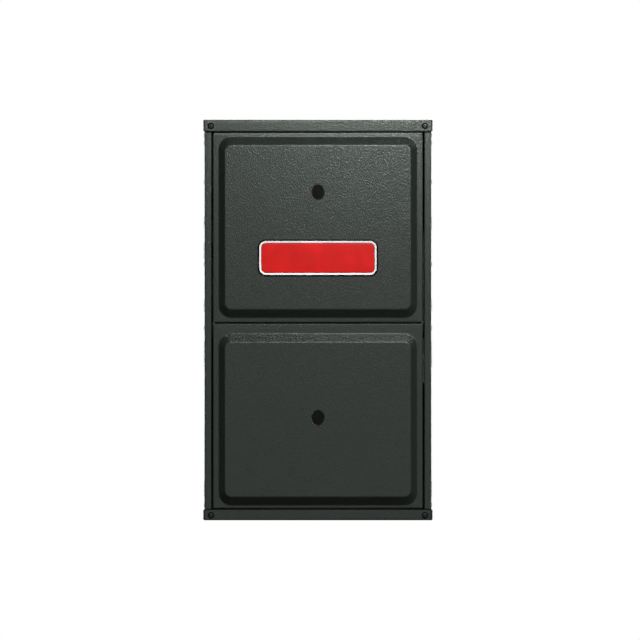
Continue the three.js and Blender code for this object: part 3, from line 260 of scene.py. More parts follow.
def area_light(name, place, target, size, watts, spread=180):
    """A soft box that the camera doesn't see. spread is in degrees."""
    data = bpy.data.lights.new(name, "AREA")
    data.shape = "RECTANGLE"
    data.size, data.size_y = size
    data.energy = watts
    data.spread = math.radians(spread)
    light = bpy.data.objects.new(name, data)
    scene.collection.objects.link(light)
    light.location = place
    light.rotation_euler = (Vector(target) - Vector(place)).to_track_quat("-Z", "Y").to_euler()
    light.visible_camera = False
    return light


def make_lights():
    """A white backdrop for the camera, a dim sky by height for the furnace, and the soft boxes."""
    scene.view_settings.view_transform = "Standard"
    world = bpy.data.worlds.new("studio")
    scene.world = world
    world.use_nodes = True
    tree = world.node_tree
    tree.nodes.clear()
    new = tree.nodes.new
    out, backdrop, fill = new("ShaderNodeOutputWorld"), new("ShaderNodeBackground"), new("ShaderNodeBackground")
    mix, rays = new("ShaderNodeMixShader"), new("ShaderNodeLightPath")
    coords, split, ramp = new("ShaderNodeTexCoord"), new("ShaderNodeSeparateXYZ"), new("ShaderNodeValToRGB")
    backdrop.inputs["Color"].default_value = (1, 1, 1, 1)
    rescale = new("ShaderNodeMapRange")
    rescale.inputs["From Min"].default_value = -1
    tree.links.new(coords.outputs["Generated"], split.inputs[0])
    tree.links.new(split.outputs["Z"], rescale.inputs["Value"])
    tree.links.new(rescale.outputs[0], ramp.inputs[0])
    ramp.color_ramp.elements[0].position = SKY[0][0]
    ramp.color_ramp.elements[1].position = SKY[-1][0]
    for position, _ in SKY[1:-1]:
        ramp.color_ramp.elements.new(position)
    for element, (_, value) in zip(ramp.color_ramp.elements, SKY):
        element.color = (value, value, value * 1.01, 1)
    tree.links.new(ramp.outputs[0], fill.inputs["Color"])
    tree.links.new(rays.outputs["Is Camera Ray"], mix.inputs[0])
    tree.links.new(fill.outputs[0], mix.inputs[1])
    tree.links.new(backdrop.outputs[0], mix.inputs[2])
    tree.links.new(mix.outputs[0], out.inputs["Surface"])
    front = area_light("front_box", (2.3, -4.4, 3.7), (0.0, -0.36, 0.35), (2.4, 1.4), 166)
    front.visible_glossy = False
    sheen = area_light("sheen_box", (0.1, -2.4, 0.32), (0.1, 0.0, 0.32), (3.0, 2.6), 11.1)
    key = area_light("key_box", (0.26, -1.3, 1.20), (0.14, -0.36, 0.76), (0.26, 0.16), 2.87, spread=95)
    key.visible_diffuse = sheen.visible_diffuse = False
    area_light("right_box", (2.6, 2.3, 0.52), (0.25, 0.1, 0.45), (1.1, 0.6), 50)
    area_light("left_box", (-2.6, 2.3, 0.52), (-0.25, 0.1, 0.45), (1.1, 0.6), 50)
    area_light("back_box", (0.3, 2.2, 2.6), (0.0, 0.1, 0.60), (1.4, 1.0), 45)


# ---------------- materials


class Graph:
    """A procedural material, with short calls for the nodes that the looks are made of."""

    def __init__(self, name):
        self.material = bpy.data.materials.new(name)
        self.material.use_nodes = True
        self.tree = self.material.node_tree
        self.shader = next(n for n in self.tree.nodes if n.type == "BSDF_PRINCIPLED")
        self.place = self.tree.nodes.new("ShaderNodeTexCoord").outputs["Object"]

    def put(self, socket, value):
        """Links an output to a socket, or sets the socket's own value."""
        if isinstance(value, bpy.types.NodeSocket):
            self.tree.links.new(value, socket)
        elif isinstance(value, (tuple, list)):
            socket.default_value = (*value, 1) if len(socket.default_value) == 4 and len(value) == 3 else value
        else:
            socket.default_value = value

    def set(self, name, value):
        self.put(self.shader.inputs[name], value)

    def noise(self, scale, detail=3, rough=0.5, at=None, distort=0.0):
        node = self.tree.nodes.new("ShaderNodeTexNoise")
        self.put(node.inputs["Vector"], at or self.place)
        self.put(node.inputs["Scale"], scale)
        self.put(node.inputs["Detail"], detail)
        self.put(node.inputs["Roughness"], rough)
        self.put(node.inputs["Distortion"], distort)
        return node.outputs["Fac"]

    def cells(self, scale, output="Distance", at=None, randomness=1.0):
        node = self.tree.nodes.new("ShaderNodeTexVoronoi")
        self.put(node.inputs["Vector"], at or self.place)
        self.put(node.inputs["Scale"], scale)
        self.put(node.inputs["Randomness"], randomness)
        return node.outputs[output]

    def stretched(self, scale, turn=(0, 0, 0)):
        """The object's coordinates, turned and scaled."""
        node = self.tree.nodes.new("ShaderNodeMapping")
        self.put(node.inputs["Vector"], self.place)
        self.put(node.inputs["Rotation"], turn)
        self.put(node.inputs["Scale"], scale)
        return node.outputs[0]

    def ramp(self, value, stops):
        """Colours by (position, colour) stops."""
        node = self.tree.nodes.new("ShaderNodeValToRGB")
        elements = node.color_ramp.elements
        elements[0].position, elements[1].position = stops[0][0], stops[-1][0]
        for position, _ in stops[1:-1]:
            elements.new(position)
        for element, (_, colour) in zip(elements, stops):
            element.color = (*colour, 1) if isinstance(colour, tuple) else (colour,) * 3 + (1,)
        self.put(node.inputs[0], value)
        return node.outputs[0]

    def math(self, kind, a, b=0.0, clamp=False):
        node = self.tree.nodes.new("ShaderNodeMath")
        node.operation = kind
        node.use_clamp = clamp
        self.put(node.inputs[0], a)
        self.put(node.inputs[1], b)
        return node.outputs[0]

    def span(self, value, low, high):
        """Spreads a 0 to 1 value over low to high."""
        node = self.tree.nodes.new("ShaderNodeMapRange")
        self.put(node.inputs["Value"], value)
        self.put(node.inputs["To Min"], low)
        self.put(node.inputs["To Max"], high)
        return node.outputs[0]

    def mix(self, share, a, b):
        node = self.tree.nodes.new("ShaderNodeMix")
        node.data_type = "RGBA"
        self.put(node.inputs[0], share)
        self.put(node.inputs[6], a)
        self.put(node.inputs[7], b)
        return node.outputs[2]

    def edges_for_wear_and_shade(self, radius):
        """0 on flat faces and up to 1 along edges, by how far a rounded normal leans, and that normal."""
        bevel = self.tree.nodes.new("ShaderNodeBevel")
        bevel.samples = 3
        self.put(bevel.inputs["Radius"], radius)
        geometry = self.tree.nodes.new("ShaderNodeNewGeometry")
        dot = self.tree.nodes.new("ShaderNodeVectorMath")
        dot.operation = "DOT_PRODUCT"
        self.put(dot.inputs[0], bevel.outputs[0])
        self.put(dot.inputs[1], geometry.outputs["Normal"])
        lean = self.math("SUBTRACT", 1.0, dot.outputs["Value"])
        return self.math("MULTIPLY", lean, 4.0, clamp=True), bevel.outputs[0]

    def bump(self, height, strength, distance, normal=None):
        node = self.tree.nodes.new("ShaderNodeBump")
        self.put(node.inputs["Strength"], strength)
        self.put(node.inputs["Distance"], distance)
        self.put(node.inputs["Height"], height)
        if normal is not None:
            self.put(node.inputs["Normal"], normal)
        return node.outputs[0]


def lighter(colour, factor):
    """A colour times a factor, held at 1. A factor under 1 darkens it."""
    return tuple(min(1.0, c * factor) for c in colour)


PAINT_GLOSS = 0.84
PAINT_TINT = (0.86, 0.97, 0.88, 1)
LEATHER = 640
SPANGLES = 95


def paint(name, colour, grain=1.0, rough=0.35):
    """Baked satin paint over sheet metal: a leathery fine texture, broad tone drift, and edges painted darker and less
    glossy as painted shade, in patches.
    """
    g = Graph(name)
    drift = g.noise(scale=2.6, detail=2)
    speck = g.noise(scale=1300, detail=2)
    base = g.ramp(drift, [(0.3, lighter(colour, 0.92)), (0.7, lighter(colour, 1.08))])
    base = g.mix(g.span(speck, 0.0, 0.35), base, (*lighter(colour, 1.35), 1))
    edges, rounded = g.edges_for_wear_and_shade(0.002)
    rim_patches = g.noise(scale=55, detail=4, rough=0.7)
    rim_shade_mask = g.math("MULTIPLY", edges, g.span(rim_patches, 0.5, 1.3), clamp=True)
    # Darkens the colour along edges: painted shade for the dark rims of rounded edges, broken into patches.
    base = g.mix(g.math("MULTIPLY", rim_shade_mask, 0.8), base, (*lighter(colour, 0.35), 1))
    g.set("Base Color", base)
    g.set("Roughness", g.span(g.noise(scale=30, detail=3), rough - 0.06, rough + 0.07))
    g.set("Specular IOR Level", g.span(rim_shade_mask, PAINT_GLOSS, PAINT_GLOSS * 0.25))
    g.set("Specular Tint", PAINT_TINT)
    skin = g.stretched((1.0, 1.0, 0.42), (0, math.radians(44), 0))
    leather = g.noise(scale=LEATHER, detail=1, at=skin, distort=0.2)
    pores = g.cells(LEATHER, at=skin)
    height = g.math("ADD", leather, g.math("MULTIPLY", pores, 0.3))
    g.set("Normal", g.bump(height, grain, 0.0008, rounded))
    return g.material


def galvanised(name, colour):
    """Zinc-coated sheet: crystal spangles, faint rolling lines and white dulling."""
    g = Graph(name)
    warped = g.stretched((1, 1, 1.15))
    cell = g.cells(SPANGLES, "Color", at=warped)
    tone = g.math("ADD", g.span(cell, 0.0, 0.55), g.span(g.noise(scale=14, detail=3), 0.0, 0.45))
    base = g.ramp(tone, [(0.15, lighter(colour, 0.78)), (0.5, colour), (0.9, lighter(colour, 1.16))])
    dull = g.noise(scale=5, detail=5, rough=0.65)
    base = g.mix(g.span(dull, 0.0, 0.22), base, (0.78, 0.79, 0.78, 1))
    edges, rounded = g.edges_for_wear_and_shade(0.0006)
    base = g.mix(g.math("MULTIPLY", edges, 0.35), base, (*lighter(colour, 1.3), 1))
    g.set("Base Color", base)
    g.set("Metallic", 0.85)
    g.set("Roughness", g.span(cell, 0.30, 0.52))
    lines = g.noise(scale=140, detail=2, at=g.stretched((1, 1, 0.05)))
    g.set("Normal", g.bump(lines, 0.12, 0.0003, rounded))
    return g.material


def dull_metal(name, colour, rough=0.5, metallic=0.8, grain=220, brushed=None, heat=False, depth=0.0004):
    """Plain metal with a fine skin. brushed stretches its grain, and heat tints it straw and purple."""
    g = Graph(name)
    at = g.stretched(brushed) if brushed else None
    fine = g.noise(scale=grain, detail=4, rough=0.6, at=at)
    broad = g.noise(scale=9, detail=3)
    base = g.ramp(broad, [(0.25, lighter(colour, 0.86)), (0.75, lighter(colour, 1.1))])
    base = g.mix(g.span(fine, 0.0, 0.3), base, (*lighter(colour, 0.7), 1))
    if heat:
        tint = g.ramp(g.noise(scale=6, detail=4, distort=0.6), [
            (0.35, colour), (0.52, (0.45, 0.36, 0.22)), (0.62, (0.28, 0.22, 0.26)), (0.72, colour),
        ])
        base = g.mix(0.35, base, tint)
    edges, rounded = g.edges_for_wear_and_shade(0.0007)
    base = g.mix(g.math("MULTIPLY", edges, 0.45), base, (*lighter(colour, 1.5), 1))
    g.set("Base Color", base)
    g.set("Metallic", metallic)
    g.set("Roughness", g.span(fine, rough - 0.1, rough + 0.12))
    g.set("Normal", g.bump(fine, 0.25, depth, rounded))
    return g.material


def plastic(name, colour, rough=0.45, grain=900, dust=0.12, coat=0.0, depth=0.0002, specular=0.5):
    """Moulded plastic or rubber: a spark-eroded skin, flow marks and a little dust."""
    g = Graph(name)
    flow = g.noise(scale=18, detail=3, distort=0.8)
    fine = g.noise(scale=grain, detail=2)
    base = g.ramp(flow, [(0.3, lighter(colour, 0.88)), (0.7, lighter(colour, 1.1))])
    settled = g.noise(scale=60, detail=5, rough=0.7)
    base = g.mix(g.math("MULTIPLY", g.span(settled, 0.0, 1.0), dust), base, (0.42, 0.41, 0.39, 1))
    edges, rounded = g.edges_for_wear_and_shade(0.0006)
    base = g.mix(g.math("MULTIPLY", edges, 0.3), base, (*lighter(colour, 1.7), 1))
    g.set("Base Color", base)
    g.set("Roughness", g.span(g.noise(scale=40, detail=3), rough - 0.06, rough + 0.1))
    g.set("Specular IOR Level", specular)
    g.set("Coat Weight", coat)
    g.set("Normal", g.bump(fine, 0.3, depth, rounded))
    return g.material


def circuit_board(name):
    """Green solder mask over copper: runs of tracks in two directions, with small pads."""
    g = Graph(name)
    tracks = g.noise(scale=260, detail=0, at=g.stretched((1, 1, 0.08)))
    across = g.noise(scale=240, detail=0, at=g.stretched((0.08, 1, 1)))
    copper = g.math("MAXIMUM", g.math("GREATER_THAN", tracks, 0.58), g.math("GREATER_THAN", across, 0.61))
    pads = g.math("LESS_THAN", g.cells(300, randomness=0.5), 0.16)
    base = g.mix(copper, (0.010, 0.075, 0.030, 1), (0.022, 0.14, 0.058, 1))
    base = g.mix(g.math("MULTIPLY", pads, 0.8), base, (0.55, 0.56, 0.56, 1))
    g.set("Base Color", base)
    g.set("Roughness", g.span(g.noise(scale=70), 0.26, 0.42))
    g.set("Coat Weight", 0.3)
    g.set("Normal", g.bump(copper, 0.3, 0.0001))
    return g.material


make_camera()

PAINT = (0.0265, 0.0322, 0.0272)
looks = {
    "cabinet_paint": paint("cabinet_paint", PAINT),
    "screw_paint": paint("screw_paint", lighter(PAINT, 1.08), grain=0.5, rough=0.4),
    "sight_glass": plastic("sight_glass", (0.008, 0.0085, 0.008), rough=0.3, dust=0.01, specular=0.09),
    "badge": plastic("badge", (0.62, 0.009, 0.008), rough=0.34, dust=0.0, specular=0.3),
    "galvanised": galvanised("galvanised", (0.50, 0.52, 0.52)),
    "aluminised": dull_metal("aluminised", (0.42, 0.41, 0.385), rough=0.48, heat=True),
    "stainless": dull_metal("stainless", (0.55, 0.56, 0.56), rough=0.28, metallic=0.95, brushed=(1, 1, 0.03)),
    "black_pipe": dull_metal("black_pipe", (0.021, 0.021, 0.024), metallic=0.6, grain=160),
    "cast_aluminium": dull_metal("cast_aluminium", (0.42, 0.43, 0.44), grain=420, depth=0.0007),
    "motor_shell": paint("motor_shell", (0.045, 0.048, 0.054), grain=0.7, rough=0.36),
    "shaft_steel": dull_metal("shaft_steel", (0.62, 0.63, 0.64), rough=0.2, metallic=1.0, brushed=(0.03, 1, 1)),
    "black_plastic": plastic("black_plastic", (0.012, 0.0125, 0.0135)),
    "red_plastic": plastic("red_plastic", (0.45, 0.018, 0.013), rough=0.34, dust=0.04, coat=0.2),
    "white_plastic": plastic("white_plastic", (0.74, 0.74, 0.70), rough=0.38, dust=0.05, depth=0.0001),
    "rubber": plastic("rubber", (0.009, 0.009, 0.009), rough=0.7, dust=0.18, grain=500),
    "ceramic": plastic("ceramic", (0.78, 0.74, 0.65), rough=0.6, dust=0.08, grain=1400),
    "circuit_board": circuit_board("circuit_board"),
    "transformer_core": dull_metal(
        "transformer_core", (0.07, 0.078, 0.09), rough=0.42, metallic=0.5, brushed=(1, 8, 1),
    ),
}
badge_white = plastic("badge_white", (0.94, 0.95, 0.95), rough=0.28, dust=0.0)
# A paler grey for the inner wall of the sight glass hole, as a painted highlight along its lower lip.
lens_rim_highlight = plastic("lens_rim_highlight", (0.26, 0.27, 0.26), rough=0.4, dust=0.0, specular=0.3)
# A black for the badge's skirt, and as painted shade for the strips in the seams and the rings and recesses of the
# corner screws.
black_badge_and_shade = plastic("black_badge_and_shade", (0.002, 0.002, 0.002), rough=0.5, dust=0.0, specular=0.1)
make_floor()
make_lights()

# ---------------- CAD nodes keep their shape and get smooth normals and materials


WELD_DISTANCE = 2e-6
SHARP_ANGLE = math.radians(38)
BEVEL_ANGLE = math.radians(50)


def edge_softener():
    """Geometry nodes that weld a CAD mesh and shade it smooth, except across real edges."""
    tree = bpy.data.node_groups.new("edge_softener", "GeometryNodeTree")
    for way in ("INPUT", "OUTPUT"):
        tree.interface.new_socket("Geometry", in_out=way, socket_type="NodeSocketGeometry")
    new, join = tree.nodes.new, tree.links.new
    start, end = new("NodeGroupInput"), new("NodeGroupOutput")
    weld = new("GeometryNodeMergeByDistance")
    weld.inputs["Distance"].default_value = WELD_DISTANCE
    drop = new("GeometryNodeRemoveAttribute")
    drop.inputs["Name"].default_value = "custom_normal"
    smooth, sharp = new("GeometryNodeSetShadeSmooth"), new("GeometryNodeSetShadeSmooth")
    smooth.domain, sharp.domain = "FACE", "EDGE"
    sharp.inputs["Shade Smooth"].default_value = False
    angle, compare = new("GeometryNodeInputMeshEdgeAngle"), new("FunctionNodeCompare")
    compare.operation = "GREATER_THAN"
    compare.inputs["B"].default_value = SHARP_ANGLE
    join(angle.outputs["Unsigned Angle"], compare.inputs["A"])
    join(start.outputs[0], weld.inputs["Geometry"])
    join(weld.outputs[0], drop.inputs["Geometry"])
    join(drop.outputs[0], smooth.inputs["Geometry"])
    join(smooth.outputs[0], sharp.inputs["Geometry"])
    join(compare.outputs[0], sharp.inputs["Selection"])
    join(sharp.outputs[0], end.inputs[0])
    return tree


softener = edge_softener()
slots = {s["node"]: s["material_slot"] for s in frame["record"]["subparts"]}
# Nodes whose edges are also rounded, with the bevel's width in mm.
BEVELLED = {
    "gas_valve": 1.2, "transformer": 0.6, "condensate_trap": 2.0, "door_switch": 0.8, "junction_box": 0.4,
    "front_collector": 1.0, "rear_header": 0.5, "burner_box": 0.4, "inducer_housing": 0.8, "gas_knob": 0.7,
    "pressure_switch": 0.8, "motor_mount": 0.4, "vent_coupling": 0.8, "control_bracket": 0.3,
}
for name, node in frame["nodes"].items():
    node.data.materials.clear()
    node.data.materials.append(looks[slots[name]])
    modifier = node.modifiers.new("soft", "NODES")
    modifier.node_group = softener
    if name in BEVELLED:
        bevel = node.modifiers.new("bevel", "BEVEL")
        bevel.width = BEVELLED[name] * MM
        bevel.segments = 2
        bevel.limit_method = "ANGLE"
        bevel.angle_limit = BEVEL_ANGLE
    weigh = node.modifiers.new("weigh", "WEIGHTED_NORMAL")
    weigh.keep_sharp = True
    weigh.weight = 100

# ---------------- the front: badge, sight glasses and corner screws


def front_placer(node):
    """Places (u, v, height) on the front: u is X, v is Z and height comes forward from the node's back."""
    low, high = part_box(node)
    middle = (low + high) / 2
    return lambda u, v, h: Vector((middle.x + u, high.y - h, middle.z + v))


def badge():
    """A blank enamel badge: black skirt, white rim and a red field, slightly crowned."""
    low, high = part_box("badge_plate")
    half_w, half_h = (high.x - low.x) / 2, (high.z - low.z) / 2
    corner, least = 18 * MM, 1.5 * MM
    steps = [  # inset and height in mm, and material
        (0.4, 0.0, 0), (0.0, 0.15, 0), (0.0, 0.2, 0), (0.1, 0.3, 0), (3.3, 0.4, 0), (3.4, 2.2, 1), (3.6, 2.7, 1),
        (7.3, 2.7, 1), (7.6, 2.4, 0), (7.7, 1.8, 0), (8.2, 1.75, 2), (9.2, 1.95, 2), (12.0, 2.05, 2),
        (20.0, 2.2, 2), (32.0, 2.3, 2),
    ]
    bm = bmesh.new()
    rings = []
    for inset, height, _ in steps:
        i = inset * MM
        rings.append((rounded_rectangle(half_w - i, half_h - i, max(corner - i, least)), height * MM))
    add_rings(bm, rings, front_placer("badge_plate"), [m for _, _, m in steps])
    mesh = finish_mesh("badge", bm, 50)
    obj = new_object("badge", mesh, [black_badge_and_shade, badge_white, looks["badge"]], "upper_door")
    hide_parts("badge_plate")


def sight_glass(name, node, body):
    """A smoked lens sunk in a painted ring that laps over the pressed hole."""
    low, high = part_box(node)
    depth = (high.y - low.y) / MM
    rx, rz = (high.x - low.x) / 2, (high.z - low.z) / 2
    # Material 3, the inner wall down into the hole, is paler as a painted highlight on the lip.
    steps = [  # inset and height in mm, and material
        (2.6, 0.0, 0), (2.5, 5.6, 0), (2.5, 7.2, 2), (0.1, 7.25, 2), (0.0, 7.35, 2), (0.05, 7.9, 2), (0.2, depth, 2),
        (0.35, depth - 0.1, 3), (2.1, depth - 1.9, 3), (2.2, depth - 2.4, 0), (2.5, 4.9, 0), (2.9, 4.7, 0),
        (3.0, 4.7, 1), (8.0, 4.9, 1), (12.0, 5.0, 1),
    ]
    bm = bmesh.new()
    rings = [(ellipse(rx - i * MM, rz - i * MM, 48), h * MM) for i, h, _ in steps]
    add_rings(bm, rings, front_placer(node), [m for _, _, m in steps])
    seal = plastic(name + "_seal", (0.004, 0.004, 0.004), rough=0.5, dust=0.02)
    mesh = finish_mesh(name, bm, 50)
    obj = new_object(name, mesh, [seal, looks["sight_glass"], looks["screw_paint"], lens_rim_highlight], body)
    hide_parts(node)


def corner_screw(node):
    """A low domed screw with a hexagonal recess, painted with the cabinet and sunk in a black ring; the ring and the
    recess are black as painted shade.
    """
    low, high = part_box(node)
    length = (high.y - low.y) / MM
    base, count = length - 2.6, 36
    shank = [(0.4, 0.0), (1.6, 0.8)]
    h = 0.8
    while h < base - 1.2:
        shank += [(2.05, h + 0.35), (1.65, h + 0.8)]
        h += 1.0
    profile = shank + [
        (2.05, base - 0.3), (6.0, base), (6.9, base + 0.1), (7.0, base + 0.4), (6.9, base + 0.7), (5.0, base + 0.75),
        (4.9, base + 0.9), (4.8, base + 1.5), (4.4, base + 2.0), (3.5, base + 2.4), (2.4, length), (2.0, length),
    ]
    recess = hexagon(1.75 * MM, count)
    rings = [(ellipse(r * MM, r * MM, count), z * MM) for r, z in profile]
    rings += [(recess, (length - 0.15) * MM), (recess, (length - 1.4) * MM)]
    materials = [0] * len(rings)
    # The washer's rim, the groove round the head and the recess are black: painted shade.
    dark_ring = len(shank) + 2
    for k in (*range(dark_ring, dark_ring + 6), -2, -1):
        materials[k] = 1
    bm = bmesh.new()
    add_rings(bm, rings, front_placer(node), materials)
    mesh = finish_mesh(node, bm)
    obj = new_object(node + "_dressed", mesh, [looks["screw_paint"], black_badge_and_shade], "cabinet")
    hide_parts(node)


def split_gasket():
    """A black strip in the gap between the doors, with a pad at each end behind the cabinet's flange: painted shade
    that darkens the seam and covers the deck lip's shine there.
    """
    upper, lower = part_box("upper_door")[0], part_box("lower_door")[1]
    low = Vector((upper.x + 3 * MM, upper.y + 11 * MM, lower.z + 0.15 * MM))
    high = Vector((-upper.x - 3 * MM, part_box("blower_deck")[0].y - 0.1 * MM, upper.z - 0.15 * MM))
    bm = bmesh.new()
    add_box(bm, low, high, 0.3 * MM)
    for side in (-1, 1):
        near, far = sorted((side * (upper.x - 0.4 * MM), side * (upper.x - 16.5 * MM)))
        add_box(bm, (near, low.y + 6 * MM, low.z - 25 * MM), (far, high.y, high.z + 5 * MM), 0.3 * MM)
    new_object("split_gasket", finish_mesh("split_gasket", bm), black_badge_and_shade, "cabinet")


def cap_seals():
    """Black strips in the seams above and below the doors, as painted shadow under the top cap and painted shade in the
    bottom seam.
    """
    wrap, top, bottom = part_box("cabinet_wrap"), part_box("top_cap")[0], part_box("bottom_cap")[1]
    half, front, back = wrap[1].x - 0.3 * MM, top.y + 0.9 * MM, wrap[0].y - 0.1 * MM
    bm = bmesh.new()
    add_box(bm, (-half, front, top.z - 2.6 * MM), (half, back, top.z - 0.1 * MM), 0.3 * MM)
    add_box(bm, (-half, front, bottom.z + 0.1 * MM), (half, back + 16 * MM, bottom.z + 2.3 * MM), 0.3 * MM)
    new_object("cap_seals", finish_mesh("cap_seals", bm), black_badge_and_shade, "cabinet")


badge()
split_gasket()
cap_seals()
sight_glass("upper_lens", "upper_sight_glass", "upper_door")
sight_glass("lower_lens", "lower_sight_glass", "lower_door")
CORNERS = ("top_left", "top_right", "bottom_left", "bottom_right")
for corner in CORNERS:
    corner_screw(corner + "_screw")

# ---------------- small parts that the CAD leaves out

FRONT, BACK, UP, DOWN, LEFT, RIGHT = (0, -1, 0), (0, 1, 0), (0, 0, 1), (0, 0, -1), (-1, 0, 0), (1, 0, 0)


def hex_screw(bm, place, direction, across=8.0, height=2.2, material=0):
    """A washer-head sheet metal screw: flange, hexagon and a shallow dish on top. Its sizes are in mm."""
    flange, count = across * 0.62, 24
    washer = ((flange, 0.0), (flange, 0.45), (flange - 0.3, 0.6))
    head = ((0.46, 0.62), (0.46, height - 0.3), (0.40, height), (0.26, height - 0.05), (0.22, height - 0.5))
    rings = [(ellipse(r * MM, r * MM, count), z * MM) for r, z in washer]
    rings += [(hexagon(across * share * MM, count), z * MM) for share, z in head]
    add_rings(bm, rings, placer(place, direction), [material] * len(rings))


def disc(bm, place, direction, radius, height, material=0, edge=0.3, hole=0.0, count=32):
    """A turned disc, or a collar when it has a hole, with a softened edge. Its sizes are in mm."""
    r, h, e, b = radius * MM, height * MM, edge * MM, hole * MM
    if hole:
        profile = [(b, 0), (r, 0), (r, h - e), (r - e, h), (b + e, h), (b, h - e), (b, 0)]
    else:
        profile = [(r, 0), (r, h - e), (r - e, h)]
    add_turned(bm, place, direction, profile, count, material, caps=not hole)


def group(name, bm, look, body="cabinet"):
    """Small parts as one piece that rides on a body."""
    new_object(name, finish_mesh(name, bm), look, body)


zinc = dull_metal("zinc_screws", (0.60, 0.61, 0.60), rough=0.34, metallic=0.9)
brass = dull_metal("brass", (0.62, 0.44, 0.17), rough=0.3, metallic=0.95)
foil = dull_metal("foil_mat", (0.66, 0.67, 0.68), rough=0.34, metallic=0.9, grain=60, depth=0.0022)
paper = plastic("winding_paper", (0.62, 0.48, 0.20), rough=0.55, dust=0.05, grain=400)
label = plastic("blank_label", (0.72, 0.72, 0.69), rough=0.5, dust=0.05)
WIRE_COLOURS = {
    "red": (0.42, 0.012, 0.010), "blue": (0.012, 0.04, 0.30), "yellow": (0.62, 0.42, 0.02), "white": (0.62, 0.62, 0.58),
    "black": (0.010, 0.010, 0.011), "orange": (0.55, 0.14, 0.012), "green": (0.012, 0.16, 0.04),
    "brown": (0.09, 0.035, 0.015),
}
wire_looks = {k: plastic("wire_" + k, c, rough=0.42, dust=0.06) for k, c in WIRE_COLOURS.items()}

# The height in mm of a screw head on a side, low enough to stay off the outline seen from the front.
SIDE_HEAD = 0.95


def cabinet_fasteners():
    """Painted screws that hold the inner panels to the cabinet's sides and back."""
    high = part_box("cabinet_wrap")[1]
    bm = bmesh.new()
    spots = [(-166.2, z) for z in (470, 560, 650, 740, 825)]
    spots += [(y, 420.5) for y in (-290, -200, -80, 60, 200, 320)]
    spots += [(y, z) for y in (-300, -100, 120, 320) for z in (34, 842)]
    for side in (-1, 1):
        for y, z in spots:
            hex_screw(bm, Vector((side * high.x, y * MM, z * MM)), (side, 0, 0), height=SIDE_HEAD)
    for x in (-205, -70, 70, 205):
        for z in (34, 420.5, 842):
            hex_screw(bm, Vector((x * MM, high.y, z * MM)), BACK)
    group("cabinet_screws", bm, looks["screw_paint"])


def cabinet_side_marks():
    """Pressed corner marks of the side return cut-out, and round knock-outs, on both sides."""
    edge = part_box("cabinet_wrap")[1].x
    bm = bmesh.new()
    wide, proud, leg, sunk = 3.2 * MM, 0.5 * MM, 34 * MM, 0.2 * MM
    y0, y1, z0, z1 = -0.262, 0.312, 0.052, 0.392
    for side in (-1, 1):
        x0, x1 = sorted((side * (edge - sunk), side * (edge + proud)))
        for y, z, sy, sz in ((y0, z0, 1, 1), (y1, z0, -1, 1), (y0, z1, 1, -1), (y1, z1, -1, -1)):
            for ly, lz in ((leg, wide), (wide, leg)):
                ya, yb = sorted((y, y + sy * ly))
                za, zb = sorted((z, z + sz * lz))
                add_box(bm, (x0, ya, za), (x1, yb, zb), 0.6 * MM, 2)
        for y, z in ((-0.2906, 0.650), (0.30, 0.47), (side * -0.14 - 0.15, 0.350)):
            spot = Vector((side * (edge - sunk), y, z))
            disc(bm, spot, (side, 0, 0), 14, 0.8, edge=0.4, hole=12.2)
            disc(bm, spot, (side, 0, 0), 9.5, 0.6, hole=8.6)
    group("cabinet_side_marks", bm, looks["cabinet_paint"])


def grommets():
    """Rubber edges in the gas pipe hole and the wiring hole."""
    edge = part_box("cabinet_wrap")[1].x
    bm = bmesh.new()
    disc(bm, Vector((-edge, -0.2906, 0.589)), LEFT, 17.5, 0.9, edge=0.5, hole=13.6)
    disc(bm, Vector((edge, -0.270, 0.350)), RIGHT, 14.0, 0.9, edge=0.5, hole=9.2)
    group("hole_grommets", bm, looks["rubber"])


def door_lining(name, door, top, bottom):
    """Two foil-faced mats inside a door, one each side of its sight glass, with stick pins."""
    front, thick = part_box(door)[0].y + 1.6 * MM, 7 * MM
    bm = bmesh.new()
    for x0, x1 in ((-192, -26), (26, 192)):
        add_box(bm, (x0 * MM, front, bottom * MM), (x1 * MM, front + thick, top * MM), 2.2 * MM, 3)
        for x in (x0 + 24, x1 - 24):
            for z in (bottom + 30, (bottom + top) / 2, top - 30):
                disc(bm, mm(x, (front + thick) / MM, z), BACK, 8, 0.8, 1)
    group(name, bm, [foil, zinc], door)


def burner_details():
    """Screws round the burner box, hexagonal orifice spuds, switch terminals and a porcelain stud at each end."""
    bm = bmesh.new()
    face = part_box("burner_box")[0].y
    for x in (-148, -76, 76, 148):
        for z in (651, 729):
            if z == 729 and abs(x) == 148:
                continue
            hex_screw(bm, Vector((x * MM, face, z * MM)), FRONT, 7, 2.4)
    spud = [(6.2 * MM, 0), (6.2 * MM, 4.6 * MM), (5.4 * MM, 5.2 * MM)]
    for x in (-114, -38, 38, 114):
        add_turned(bm, mm(x, face / MM - 0.4, 690), FRONT, spud, 6, 1)
    for side in (-1, 1):
        for dx in (-5, 5):
            x = side * 138 + dx
            add_box(bm, mm(x - 3, -291.5, 726.5), mm(x + 3, -284.6, 727.3), 0.2 * MM, 1)
        disc(bm, mm(side * 163, -177.6, 690), (side, 0, 0), 4.4, 9, 2, edge=0.8)
    group("burner_fittings", bm, [zinc, brass, looks["ceramic"]])


